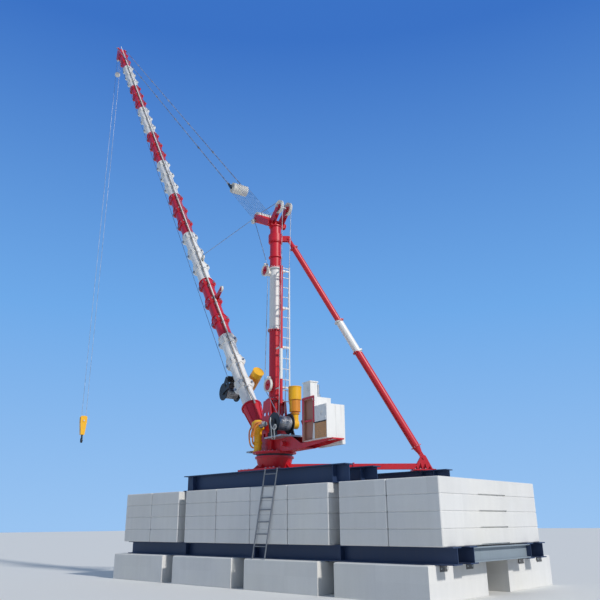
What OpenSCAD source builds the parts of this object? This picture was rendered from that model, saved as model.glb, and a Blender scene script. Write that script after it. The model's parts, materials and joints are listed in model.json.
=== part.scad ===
// Stiff-leg derrick crane on a ballasted base, in millimetres, +Z up.
// The origin is on the mast's turning axis, on the level that the foot blocks stand on.
// +X runs along the base's long side and +Y goes from the mast towards the feet of the stiff legs.

/* [Foot blocks] */
// Length of one concrete foot block along X
block_l = 2250; // [2000:10:2400]
// Width of one foot block along Y
block_w = 2200; // [2000:10:2300]
// Height of the foot blocks
block_h = 660; // [500:10:800]
// Distance from one foot block to the next along X
block_pitch = 2700; // [2500:10:2900]
// Distance from the mast axis to the front face of the front blocks
block_front = 920; // [900:10:1000]
// Clear space along Y between the front and rear blocks
block_alley = 955; // [900:5:1100]
// How far the row of blocks sits to the left of the slabs above
block_shift = 285; // [200:5:350]

/* [Lower frame] */
// Height of the lower frame beams
lower_h = 320; // [280:10:400]
// Flange width of the lower frame beams
lower_w = 300; // [240:10:300]
// Length of the lower frame along X
lower_l = 10490; // [10400:10:10600]
// Clear space between the two beams of a pair
lower_gap = 310; // [250:10:340]
// Distance from the mast axis to the front of the front pair
lower_front = 660; // [640:10:700]
// Distance from the front of the front pair to the front of the rear pair
lower_rear_offset = 3110; // [3000:10:3200]

/* [Ballast slabs] */
// Width of one slab along X
slab_w = 1214; // [1150:2:1220]
// Length of one slab along Y
slab_l = 4155; // [4000:5:4200]
// Height of one slab
slab_h = 318; // [280:1:340]
// Gap between neighbouring slabs of a stack
slab_gap = 16; // [10:1:24]
// Gap between the middle stack and the outer stacks
stack_gap = 291; // [250:1:340]
// Distance from the mast axis to the front ends of the slabs
slab_front = 830; // [800:5:860]
// Length of the lifting recess under each slab's long edge
recess_l = 1200; // [1000:10:1400]
// Height of the lifting recess
recess_h = 28; // [20:1:40]

/* [Upper beams] */
// Height of the upper beams
upper_h = 400; // [350:10:450]
// Flange width of the upper beams
upper_w = 300; // [260:10:320]
// Length of the front and middle upper beams
upper_l = 5600; // [5400:10:5800]
// Length of the rear upper beam, which carries the feet of the legs
rear_beam_l = 6800; // [6400:10:7200]
// Distance from the mast axis to the middle of the front and middle beams
upper_reach = 503; // [490:1:520]

/* [Stiff legs] */
// Distance along X and along Y from the mast axis to each leg foot pin
foot_offset = 2670; // [2600:10:2750]
// Height of the leg foot pin above the upper beams
foot_pin_rise = 320; // [280:5:360]
// Outer diameter of the lower, thicker leg tube
leg_d_low = 200; // [180:5:220]
// Outer diameter of the upper, thinner leg tube
leg_d_top = 160; // [140:5:180]
// Height of the leg top pins above the ground
leg_top_z = 9010; // [8900:10:9100]
// Distance from the mast axis to the leg top pins
leg_top_r = 360; // [340:5:400]

/* [Mast] */
// Outer diameter of the mast tube
mast_d = 310; // [290:5:330]
// Wall of the mast tube
mast_wall = 12; // [8:1:16]
// Height where the turning part begins, at the top of the slewing bearing
turn_z = 3060; // [3000:10:3100]
// Height of the mast foot's top flange
mast_foot_top = 4450; // [4300:10:4600]
// Height of the joint between the lower red and the white mast tube
mast_joint_1 = 6330; // [6200:10:6450]
// Height of the joint between the white and the upper red mast tube
mast_joint_2 = 8100; // [8000:10:8200]
// Height of the top of the mast tube
mast_top = 9360; // [9300:10:9450]
// Compass heading of the boom at rest, from +X towards +Y, in degrees
slew_rest = 166; // [160:1:200]

/* [Boom] */
// Distance from the mast axis to the boom's foot pin
pivot_u = 470; // [450:5:500]
// Height of the boom's foot pin
pivot_z = 3370; // [3340:5:3420]
// Boom angle above the ground at rest, in degrees
luff_rest = 54.8; // [45:0.1:70]
// Outer diameter of the boom tube
boom_d = 410; // [380:5:440]
// Wall of the boom tube
boom_wall = 10; // [8:1:14]
// Length of the flared boom foot
boom_foot_l = 1330; // [1200:10:1450]
// Length of one boom section
section_l = 2840; // [2700:10:2950]
// Length of the red boom head
boom_head_l = 3100; // [2900:10:3300]
// Reach of the coupling ears beyond the boom tube
ear_reach = 95; // [70:5:120]

/* [Ropes and hook] */
// Height of the middle of the hook block at rest
hook_z = 6000; // [5800:10:6400]
// Diameter of the ropes
rope_d = 18; // [14:1:26]
// Distance from the mast head pack to the floating block
falls_l = 2330; // [2000:10:2600]

/* [Hidden] */

$fn = 48;

red = "#c81428";
white = "#f0f0ea";
navy = "#1e2c48";
yellow = "#f0b41e";
black = "#202226";
grey = "#9aa09c";
concrete = "#c4c4bc";
sheave_white = "#f4f2ea";
tan = "#a8835c";

// Levels, each built on the one below
frame_z = block_h;
slab_z = frame_z + lower_h;
slab_layers = 4;
upper_z = slab_z + slab_layers * slab_h;
deck_z = upper_z + upper_h;

// Slab stacks: the number of slabs and the left edge of each stack
middle_count = 4;
outer_count = 2;
middle_half = (middle_count * slab_w + (middle_count - 1) * slab_gap) / 2;
outer_width = outer_count * slab_w + (outer_count - 1) * slab_gap;
STACKS = [
  [outer_count, -middle_half - stack_gap - outer_width],
  [middle_count, -middle_half],
  [outer_count, middle_half + stack_gap]];

block_count = 4;
block_x0 = -block_count / 2 * block_pitch + (block_pitch - block_l) / 2 - block_shift;

// Thicknesses shared by the steelwork
flange_t = 22;
web_t = 14;
plate_t = 16;
seat = 0.3;
sheave_rim = 0.12;

// Rectangle with cut corners
module cut_square(a, b, c) {
  polygon([[c, 0], [a - c, 0], [a, c], [a, b - c], [a - c, b], [c, b], [0, b - c], [0, c]]);
}

// Block with all twelve edges bevelled
module bevelled(size, c) {
  intersection() {
    linear_extrude(size[2]) cut_square(size[0], size[1], c);
    translate([0, size[1], 0]) rotate([90, 0, 0]) linear_extrude(size[1]) cut_square(size[0], size[2], c);
    rotate([90, 0, 90]) linear_extrude(size[0]) cut_square(size[1], size[2], c);
  }
}

// Tube along Z, open at both ends
module tube(d, wall, l) {
  difference() {
    cylinder(h = l, d = d);
    translate([0, 0, -1]) cylinder(h = l + 2, d = d - 2 * wall);
  }
}

// Flat ring along Z
module ring(d_out, d_in, t) {
  difference() {
    cylinder(h = t, d = d_out);
    translate([0, 0, -1]) cylinder(h = t + 2, d = d_in);
  }
}

// Rolled beam along +X, with its lower front edge at the origin
module i_beam(l, h, w) {
  rotate([90, 0, 90]) linear_extrude(l) {
    square([w, flange_t]);
    translate([0, h - flange_t]) square([w, flange_t]);
    translate([(w - web_t) / 2, 0]) square([web_t, h]);
  }
}

// Stiffening plates between the flanges of a beam, on the front (0) and back (1) of its web
module stiffener(h, w, sides = [0, 1]) {
  inset = 10;
  for (s = sides)
    translate([-plate_t / 2, s == 0 ? inset : (w + web_t) / 2 - 1, flange_t - 1])
      cube([plate_t, (w - web_t) / 2 + 1 - inset, h - 2 * flange_t + 2]);
}

// Triangular gusset in the x-z plane, with its right angle at the origin
module gusset(a, h, t) {
  rotate([90, 0, 0]) translate([0, 0, -t / 2]) linear_extrude(t) polygon([[0, 0], [a, 0], [0, h]]);
}

// Upright rod between two points
module rod(a, b, d) {
  v = b - a;
  l = norm(v);
  translate(a) rotate([0, acos(v[2] / l), atan2(v[1], v[0])]) cylinder(h = l, d = d);
}

// Distance from a sheave's axis to the middle of a rope lying in its V groove
function groove_r(r, w) = r - sheave_rim * r + (rope_d / 2 + seat) / sin(atan2(w / 2, sheave_rim * r));

// The turning frame: u forwards along the boom, v to its left
module upper() { rotate([0, 0, slew_rest]) children(); }

// The boom frame: x along the boom from its foot pin, z towards its back
module on_boom() {
  upper() translate([pivot_u, 0, pivot_z]) rotate([0, -luff_rest, 0]) children();
}

// Grooved rope sheave about the Y axis, centred on the origin
module sheave(r, w, bore_r = 0) {
  rim = r * sheave_rim;
  rotate([90, 0, 0]) rotate_extrude()
    polygon([[bore_r, -w * 0.32], [r * 0.32, -w * 0.32], [r * 0.36, -w * 0.12],
      [r - 2 * rim, -w * 0.12], [r - rim, -w / 2], [r, -w / 2], [r - rim, 0],
      [r, w / 2], [r - rim, w / 2], [r - 2 * rim, w * 0.12], [r * 0.36, w * 0.12],
      [r * 0.32, w * 0.32], [bore_r, w * 0.32]]);
}

// Foot blocks, with pockets for the steel plates cast into the top edges of their ends.
// Only the top edges are bevelled, so that the whole underside stands on the ground.
plate_notch_w = 285;
plate_notch_h = 105;
plate_notch_t = 12;
foot_bevel = 22;
module bevelled_top(l, h, c) {
  polygon([[0, 0], [l, 0], [l, h - c], [l - c, h], [c, h], [0, h - c]]);
}
module foot_block() {
  color(concrete) difference() {
    intersection() {
      translate([0, block_w, 0]) rotate([90, 0, 0]) linear_extrude(block_w)
        bevelled_top(block_l, block_h, foot_bevel);
      rotate([90, 0, 90]) linear_extrude(block_l) bevelled_top(block_w, block_h, foot_bevel);
    }
    for (x = [-1, block_l - plate_notch_t], y = [0.26, 0.7])
      translate([x, y * block_w - plate_notch_w / 2, block_h - plate_notch_h])
        cube([plate_notch_t + 1, plate_notch_w, plate_notch_h + 1]);
  }
}
module foot_blocks() {
  for (row = [0, 1], i = [0 : block_count - 1])
    translate([block_x0 + i * block_pitch, -block_front + row * (block_w + block_alley), 0])
      foot_block();
}

// Lower frame
lower_x0 = -lower_l / 2 + 45;
stack_joint = middle_half + stack_gap / 2;
rear_front = -lower_front + lower_rear_offset;
module beam_pair(y0) {
  color(navy) {
    for (k = [0, 1])
      translate([lower_x0, y0 + k * (lower_w + lower_gap), frame_z]) {
        i_beam(lower_l, lower_h, lower_w);
        for (x = [-stack_joint, 0, stack_joint])
          translate([x - lower_x0, 0, 0]) stiffener(lower_h, lower_w);
      }
    for (x = [-stack_joint, 0, stack_joint])
      translate([x - plate_t / 2, y0 + lower_w / 2, frame_z + flange_t])
        cube([plate_t, lower_w + lower_gap, lower_h - 2 * flange_t]);
  }
}
module lower_frame_front() { beam_pair(-lower_front); }
module lower_frame_rear() { beam_pair(rear_front); }

// Cross members, which fit between the flanges and run from web to web
cross_w = 200;
cross_y0 = -lower_front + lower_w + lower_gap + (lower_w + web_t) / 2;
cross_y1 = rear_front + (lower_w - web_t) / 2;
module lower_cross_members() {
  for (x = [lower_x0 + 20, -stack_joint, 0, stack_joint, lower_x0 + lower_l - cross_w - 20])
    color(navy) translate([x + cross_w + plate_t / 2, cross_y0, frame_z + flange_t])
      rotate([0, 0, 90]) i_beam(cross_y1 - cross_y0, lower_h - 2 * flange_t, cross_w);
}

// Ballast slabs, with a lifting recess under each long side and two lifting sockets on top
slab_bevel = 16;
recess_d = 40;
socket_r = 38;
socket_depth = 70;
module slab() {
  difference() {
    bevelled([slab_w, slab_l, slab_h], slab_bevel);
    for (x = [-1, slab_w - recess_d + 1])
      translate([x, (slab_l - recess_l) / 2, -1]) cube([recess_d, recess_l, recess_h + 1]);
    for (y = [slab_l / 5, slab_l * 4 / 5])
      translate([slab_w / 2, y, slab_h - socket_depth]) cylinder(h = socket_depth + 1, r = socket_r);
  }
}
module slab_layer(level) {
  color(concrete)
    for (stack = STACKS, i = [0 : stack[0] - 1])
      translate([stack[1] + i * (slab_w + slab_gap), -slab_front, slab_z + level * slab_h])
        slab();
}

// Upper beams, stiffened near both ends, and under the pedestal on the side that faces it
end_bay = 367;
module upper_beam(l, y_mid, x_stiff, sides) {
  color(navy) translate([-l / 2, y_mid - upper_w / 2, upper_z]) {
    i_beam(l, upper_h, upper_w);
    for (x = [end_bay, l - end_bay]) translate([x, 0, 0]) stiffener(upper_h, upper_w);
    for (x = x_stiff) translate([l / 2 + x, 0, 0]) stiffener(upper_h, upper_w, sides);
  }
}
module upper_beam_front() { upper_beam(upper_l, -upper_reach, [-upper_reach, 0, upper_reach], [1]); }
module upper_beam_middle() { upper_beam(upper_l, upper_reach, [-upper_reach, 0, upper_reach], [0]); }
module upper_beam_rear() { upper_beam(rear_beam_l, foot_offset, [-foot_offset, 0, foot_offset], [0, 1]); }

// Access ladder, leaning on the front edge of the top slabs
ladder_rail_d = 32;
ladder_w = 400;
ladder_rungs = 7;
ladder_foot_x = 388;
ladder_lean_x = 338;
ladder_z0 = block_h + ladder_rail_d / 2 * sin(12) + seat;
ladder_z1 = deck_z;
ladder_edge_y = -slab_front - ladder_rail_d / 2 - seat;
ladder_foot_y = ladder_edge_y - 49;
function ladder_y(z) =
  ladder_foot_y + (ladder_edge_y - ladder_foot_y) * (z - ladder_z0) / (upper_z - ladder_z0);
function ladder_x(z) = ladder_foot_x + ladder_lean_x * (z - ladder_z0) / (ladder_z1 - ladder_z0);
module access_ladder() {
  color(grey) {
    for (side = [-1, 1]) {
      a = [ladder_foot_x + side * ladder_w / 2, ladder_y(ladder_z0), ladder_z0];
      b = [ladder_x(ladder_z1) + side * ladder_w / 2, ladder_y(ladder_z1), ladder_z1];
      rod(a, b, ladder_rail_d);
    }
    for (i = [1 : ladder_rungs]) {
      z = ladder_z0 + i * (ladder_z1 - ladder_z0) / (ladder_rungs + 0.5);
      rod([ladder_x(z) - ladder_w / 2, ladder_y(z), z], [ladder_x(z) + ladder_w / 2, ladder_y(z), z], 24);
    }
  }
}

// Pedestal on the front and middle upper beams: a cone on a base plate, with a rim under the bearing
pedestal_plate = 1300;
pedestal_plate_t = 40;
pedestal_r0 = 390;
pedestal_r1 = 490;
pedestal_rim = 45;
bearing_h = 50;
pedestal_z = deck_z + pedestal_plate_t;
rim_z = turn_z - bearing_h - pedestal_rim;
module pedestal_cone(top_z) {
  rotate_extrude()
    polygon([[0, pedestal_z], [pedestal_r0, pedestal_z], [pedestal_r1 - 30, rim_z], [pedestal_r1, rim_z],
      [pedestal_r1, top_z], [0, top_z]]);
}
module pedestal() {
  color(red) {
    translate([-pedestal_plate / 2, -pedestal_plate / 2, deck_z])
      cube([pedestal_plate, pedestal_plate, pedestal_plate_t]);
    pedestal_cone(rim_z + pedestal_rim);
    for (a = [0, 90, 180, 225, 270, 315])
      rotate([0, 0, a]) translate([pedestal_r0 - 15, 0, pedestal_z - 1]) gusset(190, 170, plate_t);
  }
  color(black) translate([0, 0, turn_z - bearing_h]) cylinder(h = bearing_h - seat, r = pedestal_r1 - 40);
}

// Sills and leg feet
sill_s = 140;
foot_r = foot_offset * sqrt(2);
foot_pin_z = deck_z + foot_pin_rise;
foot_plate_t = 30;
lug_t = 30;
leg_eye_t = 60;
pin_r = 35;
module at_leg(az) { rotate([0, 0, az]) children(); }
module leg_lug(r_pin) {
  // Seen across the leg: a rounded plate on a wide base
  hull() {
    cylinder(h = lug_t, r = 2.1 * r_pin);
    translate([-260, -foot_pin_rise + foot_plate_t, 0]) cube([480, 10, lug_t]);
  }
}
module sill(az) {
  r0 = pedestal_r0 - 20;
  r1 = foot_r - 200;
  color(red) at_leg(az) {
    difference() {
      union() {
        translate([r0, -sill_s / 2, pedestal_z]) cube([r1 - r0, sill_s, sill_s]);
        // Collar plate where the sill is bolted together
        translate([r1 * 0.55, -sill_s / 2 - 25, pedestal_z - 10]) cube([40, sill_s + 50, sill_s + 35]);
      }
      translate([0, 0, -1]) pedestal_cone(turn_z);
    }
    // Foot plate, two lugs and side gussets
    translate([foot_r - 300, -250, deck_z]) cube([560, 500, foot_plate_t]);
    difference() {
      for (side = [-1, 1])
        translate([foot_r, side * (leg_eye_t + lug_t) / 2 + side * seat, foot_pin_z])
          rotate([90, 0, 0]) translate([0, 0, -lug_t / 2]) leg_lug(pin_r);
      translate([foot_r, 0, foot_pin_z]) rotate([90, 0, 0])
        cylinder(h = 400, r = pin_r, center = true);
    }
    for (side = [-1, 1], x = [-190, -75, 40, 155])
      translate([foot_r + x, side * (leg_eye_t / 2 + lug_t + seat - 1), deck_z + foot_plate_t - 1])
        rotate([0, 0, side * 90]) gusset(170, 200 - abs(x + 20) * 0.6, plate_t);
  }
}
module sill_right() { sill(45); }
module sill_left() { sill(135); }

// Stiff legs
leg_run = foot_r - leg_top_r;
leg_rise = leg_top_z - foot_pin_z;
leg_l = sqrt(leg_run * leg_run + leg_rise * leg_rise);
leg_tilt = atan2(leg_run, leg_rise);
// Leg sections: start share, end share, diameter and colour
LEG_SECTIONS = [
  [0.045, 0.46, leg_d_low, red],
  [0.46, 0.60, leg_d_low, white],
  [0.60, 0.955, leg_d_top, red]];
module leg_eye(d) {
  // Eye, neck and cone at one end of a leg, with the eye on the origin
  rotate([90, 0, 0]) translate([0, 0, -leg_eye_t / 2]) cylinder(h = leg_eye_t, r = 2 * pin_r);
  translate([-1.5 * pin_r, -leg_eye_t / 2, 0]) cube([3 * pin_r, leg_eye_t, leg_l * 0.03]);
  translate([0, 0, leg_l * 0.02]) cylinder(h = leg_l * 0.025 + 2, d1 = d * 0.55, d2 = d);
}
module stiff_leg(az) {
  at_leg(az) translate([foot_r, 0, foot_pin_z]) rotate([0, -leg_tilt, 0]) {
    for (s = LEG_SECTIONS)
      color(s[3]) {
        translate([0, 0, s[0] * leg_l]) cylinder(h = (s[1] - s[0]) * leg_l, d = s[2]);
        translate([0, 0, s[0] * leg_l]) cylinder(h = 20, d = s[2] + 80);
        translate([0, 0, s[1] * leg_l - 20]) cylinder(h = 20, d = s[2] + 80);
      }
    color(red) {
      leg_eye(leg_d_low);
      translate([0, 0, leg_l]) mirror([0, 0, 1]) leg_eye(leg_d_top);
      for (z = [0, leg_l])
        translate([0, 0, z]) rotate([90, 0, 0])
          cylinder(h = leg_eye_t + 2 * lug_t + 2 * seat + 40, r = pin_r - pin_gap, center = true);
    }
  }
}
module stiff_leg_right() { stiff_leg(45); }
module stiff_leg_left() { stiff_leg(135); }

// Collar that holds the legs' upper ends round the mast
collar_h = 200;
collar_wall = 45;
collar_gap = 0.5;
collar_z = leg_top_z - 110;
module leg_collar() {
  collar_r = mast_d / 2 + collar_gap;
  color(red) difference() {
    union() {
      translate([0, 0, collar_z]) cylinder(h = collar_h, r = collar_r + collar_wall);
      for (az = [45, 135], side = [-1, 1])
        at_leg(az) translate([leg_top_r, side * ((leg_eye_t + lug_t) / 2 + seat), leg_top_z])
          rotate([90, 0, 0]) translate([0, 0, -lug_t / 2]) linear_extrude(lug_t) {
            circle(r = 2.1 * pin_r);
            translate([-leg_top_r + collar_r, -2.1 * pin_r])
              square([leg_top_r - collar_r, 4.2 * pin_r]);
          }
    }
    translate([0, 0, collar_z - 200]) cylinder(h = collar_h + 400, r = collar_r);
    for (az = [45, 135])
      at_leg(az) translate([leg_top_r, 0, leg_top_z]) rotate([90, 0, 0])
        cylinder(h = 400, r = pin_r, center = true);
  }
}

// Turntable: a plate on the bearing's upper ring
turn_r = 550;
turn_t = 60;
turn_plate_t = 36;
module turntable() {
  color(red) upper() translate([0, 0, turn_z]) {
    cylinder(h = turn_t, r = pedestal_r1 - 20);
    translate([0, 0, turn_t - turn_plate_t]) cylinder(h = turn_plate_t, r = turn_r);
  }
}

// Mast foot: a tapered box with the lugs for the boom's foot pin
foot_half = 240;
foot_knee_z = 3900;
foot_hole_r = 48;
boom_lug_t = 36;
boom_eye_w = 260;
boom_pin_r = 45;
pin_gap = 0.05;
module mast_foot() {
  z0 = turn_z + turn_t;
  color(red) upper() {
    for (side = [-1, 1])
      translate([0, side * (foot_half - plate_t / 2), 0]) rotate([90, 0, 0])
        translate([0, 0, -plate_t / 2]) linear_extrude(plate_t) difference() {
          polygon([[-240, z0], [250, z0], [250, foot_knee_z], [170, mast_foot_top - 30],
            [-170, mast_foot_top - 30], [-240, foot_knee_z]]);
          for (u = [-90, 100], z = [foot_knee_z - 360, foot_knee_z + 170])
            translate([u, z]) circle(r = foot_hole_r);
        }
    // Ribs that carry the mast's lowest flange
    for (a = [0 : 60 : 300])
      rotate([0, 0, a + 30]) translate([mast_d / 2 - 3, 0, mast_foot_top - 29]) mirror([0, 0, 1])
        gusset(80, 190, plate_t);
    for (u = [-232, 218])
      translate([u, -foot_half + plate_t - 1, z0])
        cube([plate_t, 2 * foot_half - 2 * plate_t + 2, 800]);
    translate([0, 0, z0]) cylinder(h = mast_foot_top - 30 - z0, d = mast_d);
    translate([0, 0, mast_foot_top - 30]) cylinder(h = 30, d = mast_d + 170);
    for (side = [-1, 1])
      translate([0, side * (boom_eye_w / 2 + seat + boom_lug_t / 2), 0]) rotate([90, 0, 0])
        translate([0, 0, -boom_lug_t / 2]) linear_extrude(boom_lug_t) {
          translate([pivot_u, pivot_z]) circle(r = 2.1 * boom_pin_r);
          polygon([[200, z0], [480, z0], [pivot_u + 2 * boom_pin_r, pivot_z],
            [pivot_u, pivot_z + 2 * boom_pin_r], [200, pivot_z + 420]]);
        }
    translate([pivot_u, 0, pivot_z]) rotate([90, 0, 0])
      cylinder(h = boom_eye_w + 2 * boom_lug_t + 60, r = boom_pin_r - pin_gap, center = true);
  }
}

// Mast tubes, with flanges at the joints
mast_flange_t = 25;
mast_flange_d = mast_d + 90;
module mast_tube(z0, z1, c) {
  color(c) upper() translate([0, 0, z0]) {
    tube(mast_d, mast_wall, z1 - z0);
    ring(mast_flange_d, mast_d - 2 * mast_wall, mast_flange_t);
    if (z1 < mast_top)
      translate([0, 0, z1 - z0 - mast_flange_t])
        ring(mast_flange_d, mast_d - 2 * mast_wall, mast_flange_t);
  }
}
module mast_tube_lower() { mast_tube(mast_foot_top, mast_joint_1, red); }
module mast_tube_middle() { mast_tube(mast_joint_1, mast_joint_2, white); }
module mast_tube_upper() {
  mast_tube(mast_joint_2, mast_top, red);
  color(red) upper() {
    for (z = [8420, collar_z - 25 - seat, collar_z + collar_h + seat])
      translate([0, 0, z]) ring(mast_d + 70, mast_d - 2, 25);
  }
}

// Mast head: a cap with the forks for the front pack and the two rear sheaves
pack_u = 680;
pack_z = 9920;
pack_half = 260;
pack_r = 150;
pack_count = 6;
pack_w = 78;
pack_v = [for (i = [0 : pack_count - 1]) (i - (pack_count - 1) / 2) * (pack_w + 6)];
rear_u = -420;
rear_z = 9800;
rear_r = 190;
rear_v = 140;
head_pin_r = 25;
guard_gap = 14;
guard_t = 12;
module head_arm(p, q, t) {
  // Plate in the u-z plane between two round ends
  rotate([90, 0, 0]) translate([0, 0, -t / 2]) linear_extrude(t) hull() {
    translate([p[0], p[1]]) circle(r = p[2]);
    translate([q[0], q[1]]) circle(r = q[2]);
  }
}
module mast_head() {
  color(red) upper() difference() {
    union() {
      translate([0, 0, mast_top]) cylinder(h = 30, d = mast_d + 60);
      for (side = [-1, 1]) {
        translate([0, side * (pack_half + 26), 0])
          head_arm([0, mast_top + 90, 90], [pack_u, pack_z, 70], 20);
        translate([0, side * (rear_v + 50), 0])
          head_arm([0, mast_top + 90, 90], [rear_u, rear_z, 60], 20);
        translate([0, side * (rear_v - 50), 0])
          head_arm([0, mast_top + 90, 90], [rear_u, rear_z, 60], 20);
      }
      translate([-60, -pack_half - 36, mast_top + 30]) cube([120, 2 * pack_half + 72, 120]);
      // Guard that wraps the lower back of the front pack
      translate([pack_u, 0, pack_z]) difference() {
        rotate([90, 0, 0]) cylinder(h = 2 * pack_half + 34, r = pack_r + guard_gap + guard_t, center = true);
        rotate([90, 0, 0]) cylinder(h = 2 * pack_half + 40, r = pack_r + guard_gap, center = true);
        translate([40, -pack_half - 30, -400]) cube([400, 2 * pack_half + 60, 800]);
        translate([-400, -pack_half - 30, 0]) cube([800, 2 * pack_half + 60, 400]);
      }
      // Webs that join the plates of each rear arm
      for (side = [-1, 1])
        translate([rear_u / 2 - 20, side * rear_v - 45, (mast_top + 90 + rear_z) / 2 - 60])
          cube([30, 90, 60]);
    }
    translate([pack_u, 0, pack_z]) rotate([90, 0, 0]) cylinder(h = 800, r = head_pin_r, center = true);
    translate([rear_u, 0, rear_z]) rotate([90, 0, 0]) cylinder(h = 800, r = head_pin_r, center = true);
  }
}
module head_sheaves() {
  upper() translate([pack_u, 0, pack_z]) {
    color(sheave_white) for (v = pack_v) translate([0, v, 0]) sheave(pack_r, pack_w);
    color(grey) rotate([90, 0, 0])
      cylinder(h = 2 * pack_half + 2 * 50, r = head_pin_r - pin_gap, center = true);
  }
}
module rear_sheaves() {
  upper() translate([rear_u, 0, rear_z]) {
    color(sheave_white) for (side = [-1, 1]) translate([0, side * rear_v, 0]) sheave(rear_r, 70, 0);
    color(grey) rotate([90, 0, 0])
      cylinder(h = 2 * rear_v + 160, r = head_pin_r - pin_gap, center = true);
  }
}

// Ladder up the back of the mast. Its left rail is a thick pipe that also carries the cables.
mast_ladder_u = -400;
mast_ladder_v = [-200, 60];
mast_ladder_z = [mast_foot_top - 150, mast_joint_2 - 50];
mast_rail_d = [40, 90];
rung_pitch = 280;
module mast_ladder() {
  count = floor((mast_ladder_z[1] - mast_ladder_z[0] - 100) / rung_pitch);
  brackets = 4;
  bracket_pitch = (mast_ladder_z[1] - mast_ladder_z[0] - 550) / (brackets - 1);
  upper() {
    for (i = [0, 1])
      color([white, red][i])
        rod([mast_ladder_u, mast_ladder_v[i], mast_ladder_z[0]],
          [mast_ladder_u, mast_ladder_v[i], mast_ladder_z[1]], mast_rail_d[i]);
    color(white) for (i = [0 : count]) {
      z = mast_ladder_z[0] + 60 + i * rung_pitch;
      rod([mast_ladder_u, mast_ladder_v[0], z], [mast_ladder_u, mast_ladder_v[1], z], 22);
    }
    color(white) for (i = [0 : brackets - 1]) {
      z = mast_ladder_z[0] + 400 + i * bracket_pitch;
      translate([mast_ladder_u - 10, mast_ladder_v[0], z])
        cube([20, mast_ladder_v[1] - mast_ladder_v[0], 40]);
      difference() {
        for (v = [-100, 40]) translate([mast_ladder_u, v, z]) cube([-mast_ladder_u, 20, 40]);
        translate([0, 0, z - 1]) cylinder(h = 42, r = mast_d / 2 + seat);
      }
    }
  }
}

// Guide sheaves on the left side of the mast: forward offset, height and radius of each
guide_v = mast_d / 2 + 85;
GUIDES = [
  [-60, mast_foot_top + 360, 180],
  [150, mast_joint_2 - 40, 165]];
module guide_sheaves() {
  upper() {
    for (g = GUIDES) {
      color(sheave_white) translate([g[0], guide_v, g[1]]) sheave(g[2], 60, 0);
      color(red) translate([g[0], guide_v, g[1]]) rotate([90, 0, 0])
        cylinder(h = 110, r = 25, center = true);
      // Bracket from the mast to the pin, and the arm that hooks over the rim as a rope guard
      color(red) difference() {
        union() {
          u0 = min(-20, g[0] - 40);
          translate([u0, 60, g[1] - 130]) cube([max(20, g[0] + 40) - u0, guide_v - 85, 142]);
          translate([g[0], 150, g[1] - 40]) cube([30, 45, g[2] + 90]);
          translate([g[0], 150, g[1] + g[2] + 20]) cube([30, guide_v - 120, 30]);
        }
        cylinder(h = mast_top, r = mast_d / 2 + seat);
      }
    }
  }
}

// Tail frame
tail_end = -2720;
tail_half = 150;
tail_z = turn_z + turn_t;
tail_low = tail_z - 38;
tail_start = -foot_half + 8 - seat;
tail_tip_h = 30;
tail_tube_r = 62;
tail_tube_u = -760;
module tail_plate() {
  rotate([90, 0, 0]) translate([0, 0, -plate_t / 2]) linear_extrude(plate_t)
    polygon([[tail_start, tail_z], [tail_start, platform_z - platform_t],
      [-1050, platform_z - platform_t], [pack_box[1] + 250, pack_z0], [tail_end, pack_z0],
      [tail_end, pack_z0 - tail_tip_h], [-1600, tail_low], [-turn_r - 10, tail_low],
      [-turn_r - 10, tail_z]]);
}
module tail_frame() {
  color(red) upper() {
    for (side = [-1, 1]) translate([0, side * tail_half, 0]) tail_plate();
    // Underside plate, cross ribs, and the round tube that carries the winch's side load
    translate([-1600, -tail_half, tail_low]) cube([1600 - turn_r - 10, 2 * tail_half, 12]);
    for (u = [-1100, -1600, -2150, tail_end + plate_t])
      translate([u - plate_t, -tail_half, pack_z0 - tail_tip_h - 2]) cube([plate_t, 2 * tail_half, tail_tip_h]);
    translate([tail_tube_u, 0, tail_z + 130]) rotate([90, 0, 0])
      cylinder(h = 2 * tail_half + 240, r = tail_tube_r, center = true);
  }
}

// Winch platform and the luffing winch behind the mast
platform_z = 3440;
platform_t = 40;
platform_u = [-1050, -260];
platform_v = [-450, 450];
tray_z = platform_z - 6;
step_u = [250, 460];
step_v = [245, 560];
step_t = 35;
winch_u = -600;
winch_v = 160;
winch_z = 3770;
drum_r = 165;
drum_flange_r = 250;
drum_half = 230;
drum_pin_r = 40;
drum_flange_t = 20;
frame_t = 24;
frame_gap = 10;
frame_foot = 200;
module winch_platform() {
  color(grey) upper() {
    difference() {
      translate([platform_u[0], platform_v[0], platform_z - platform_t])
        cube([platform_u[1] - platform_u[0], platform_v[1] - platform_v[0], platform_t]);
      // Tray, sunk between a raised edge
      translate([platform_u[0] + 12, platform_v[0] + 12, tray_z])
        cube([platform_u[1] - platform_u[0] - 24, platform_v[1] - platform_v[0] - 24, 7]);
    }
    // Grating step at the foot of the slewing drive
    translate([step_u[0], step_v[0], tail_z]) difference() {
      cube([step_u[1] - step_u[0], step_v[1] - step_v[0], step_t]);
      for (v = [22 : 42 : step_v[1] - step_v[0] - 30])
        translate([18, v, -1]) cube([step_u[1] - step_u[0] - 36, 24, step_t + 2]);
    }
  }
}

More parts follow.
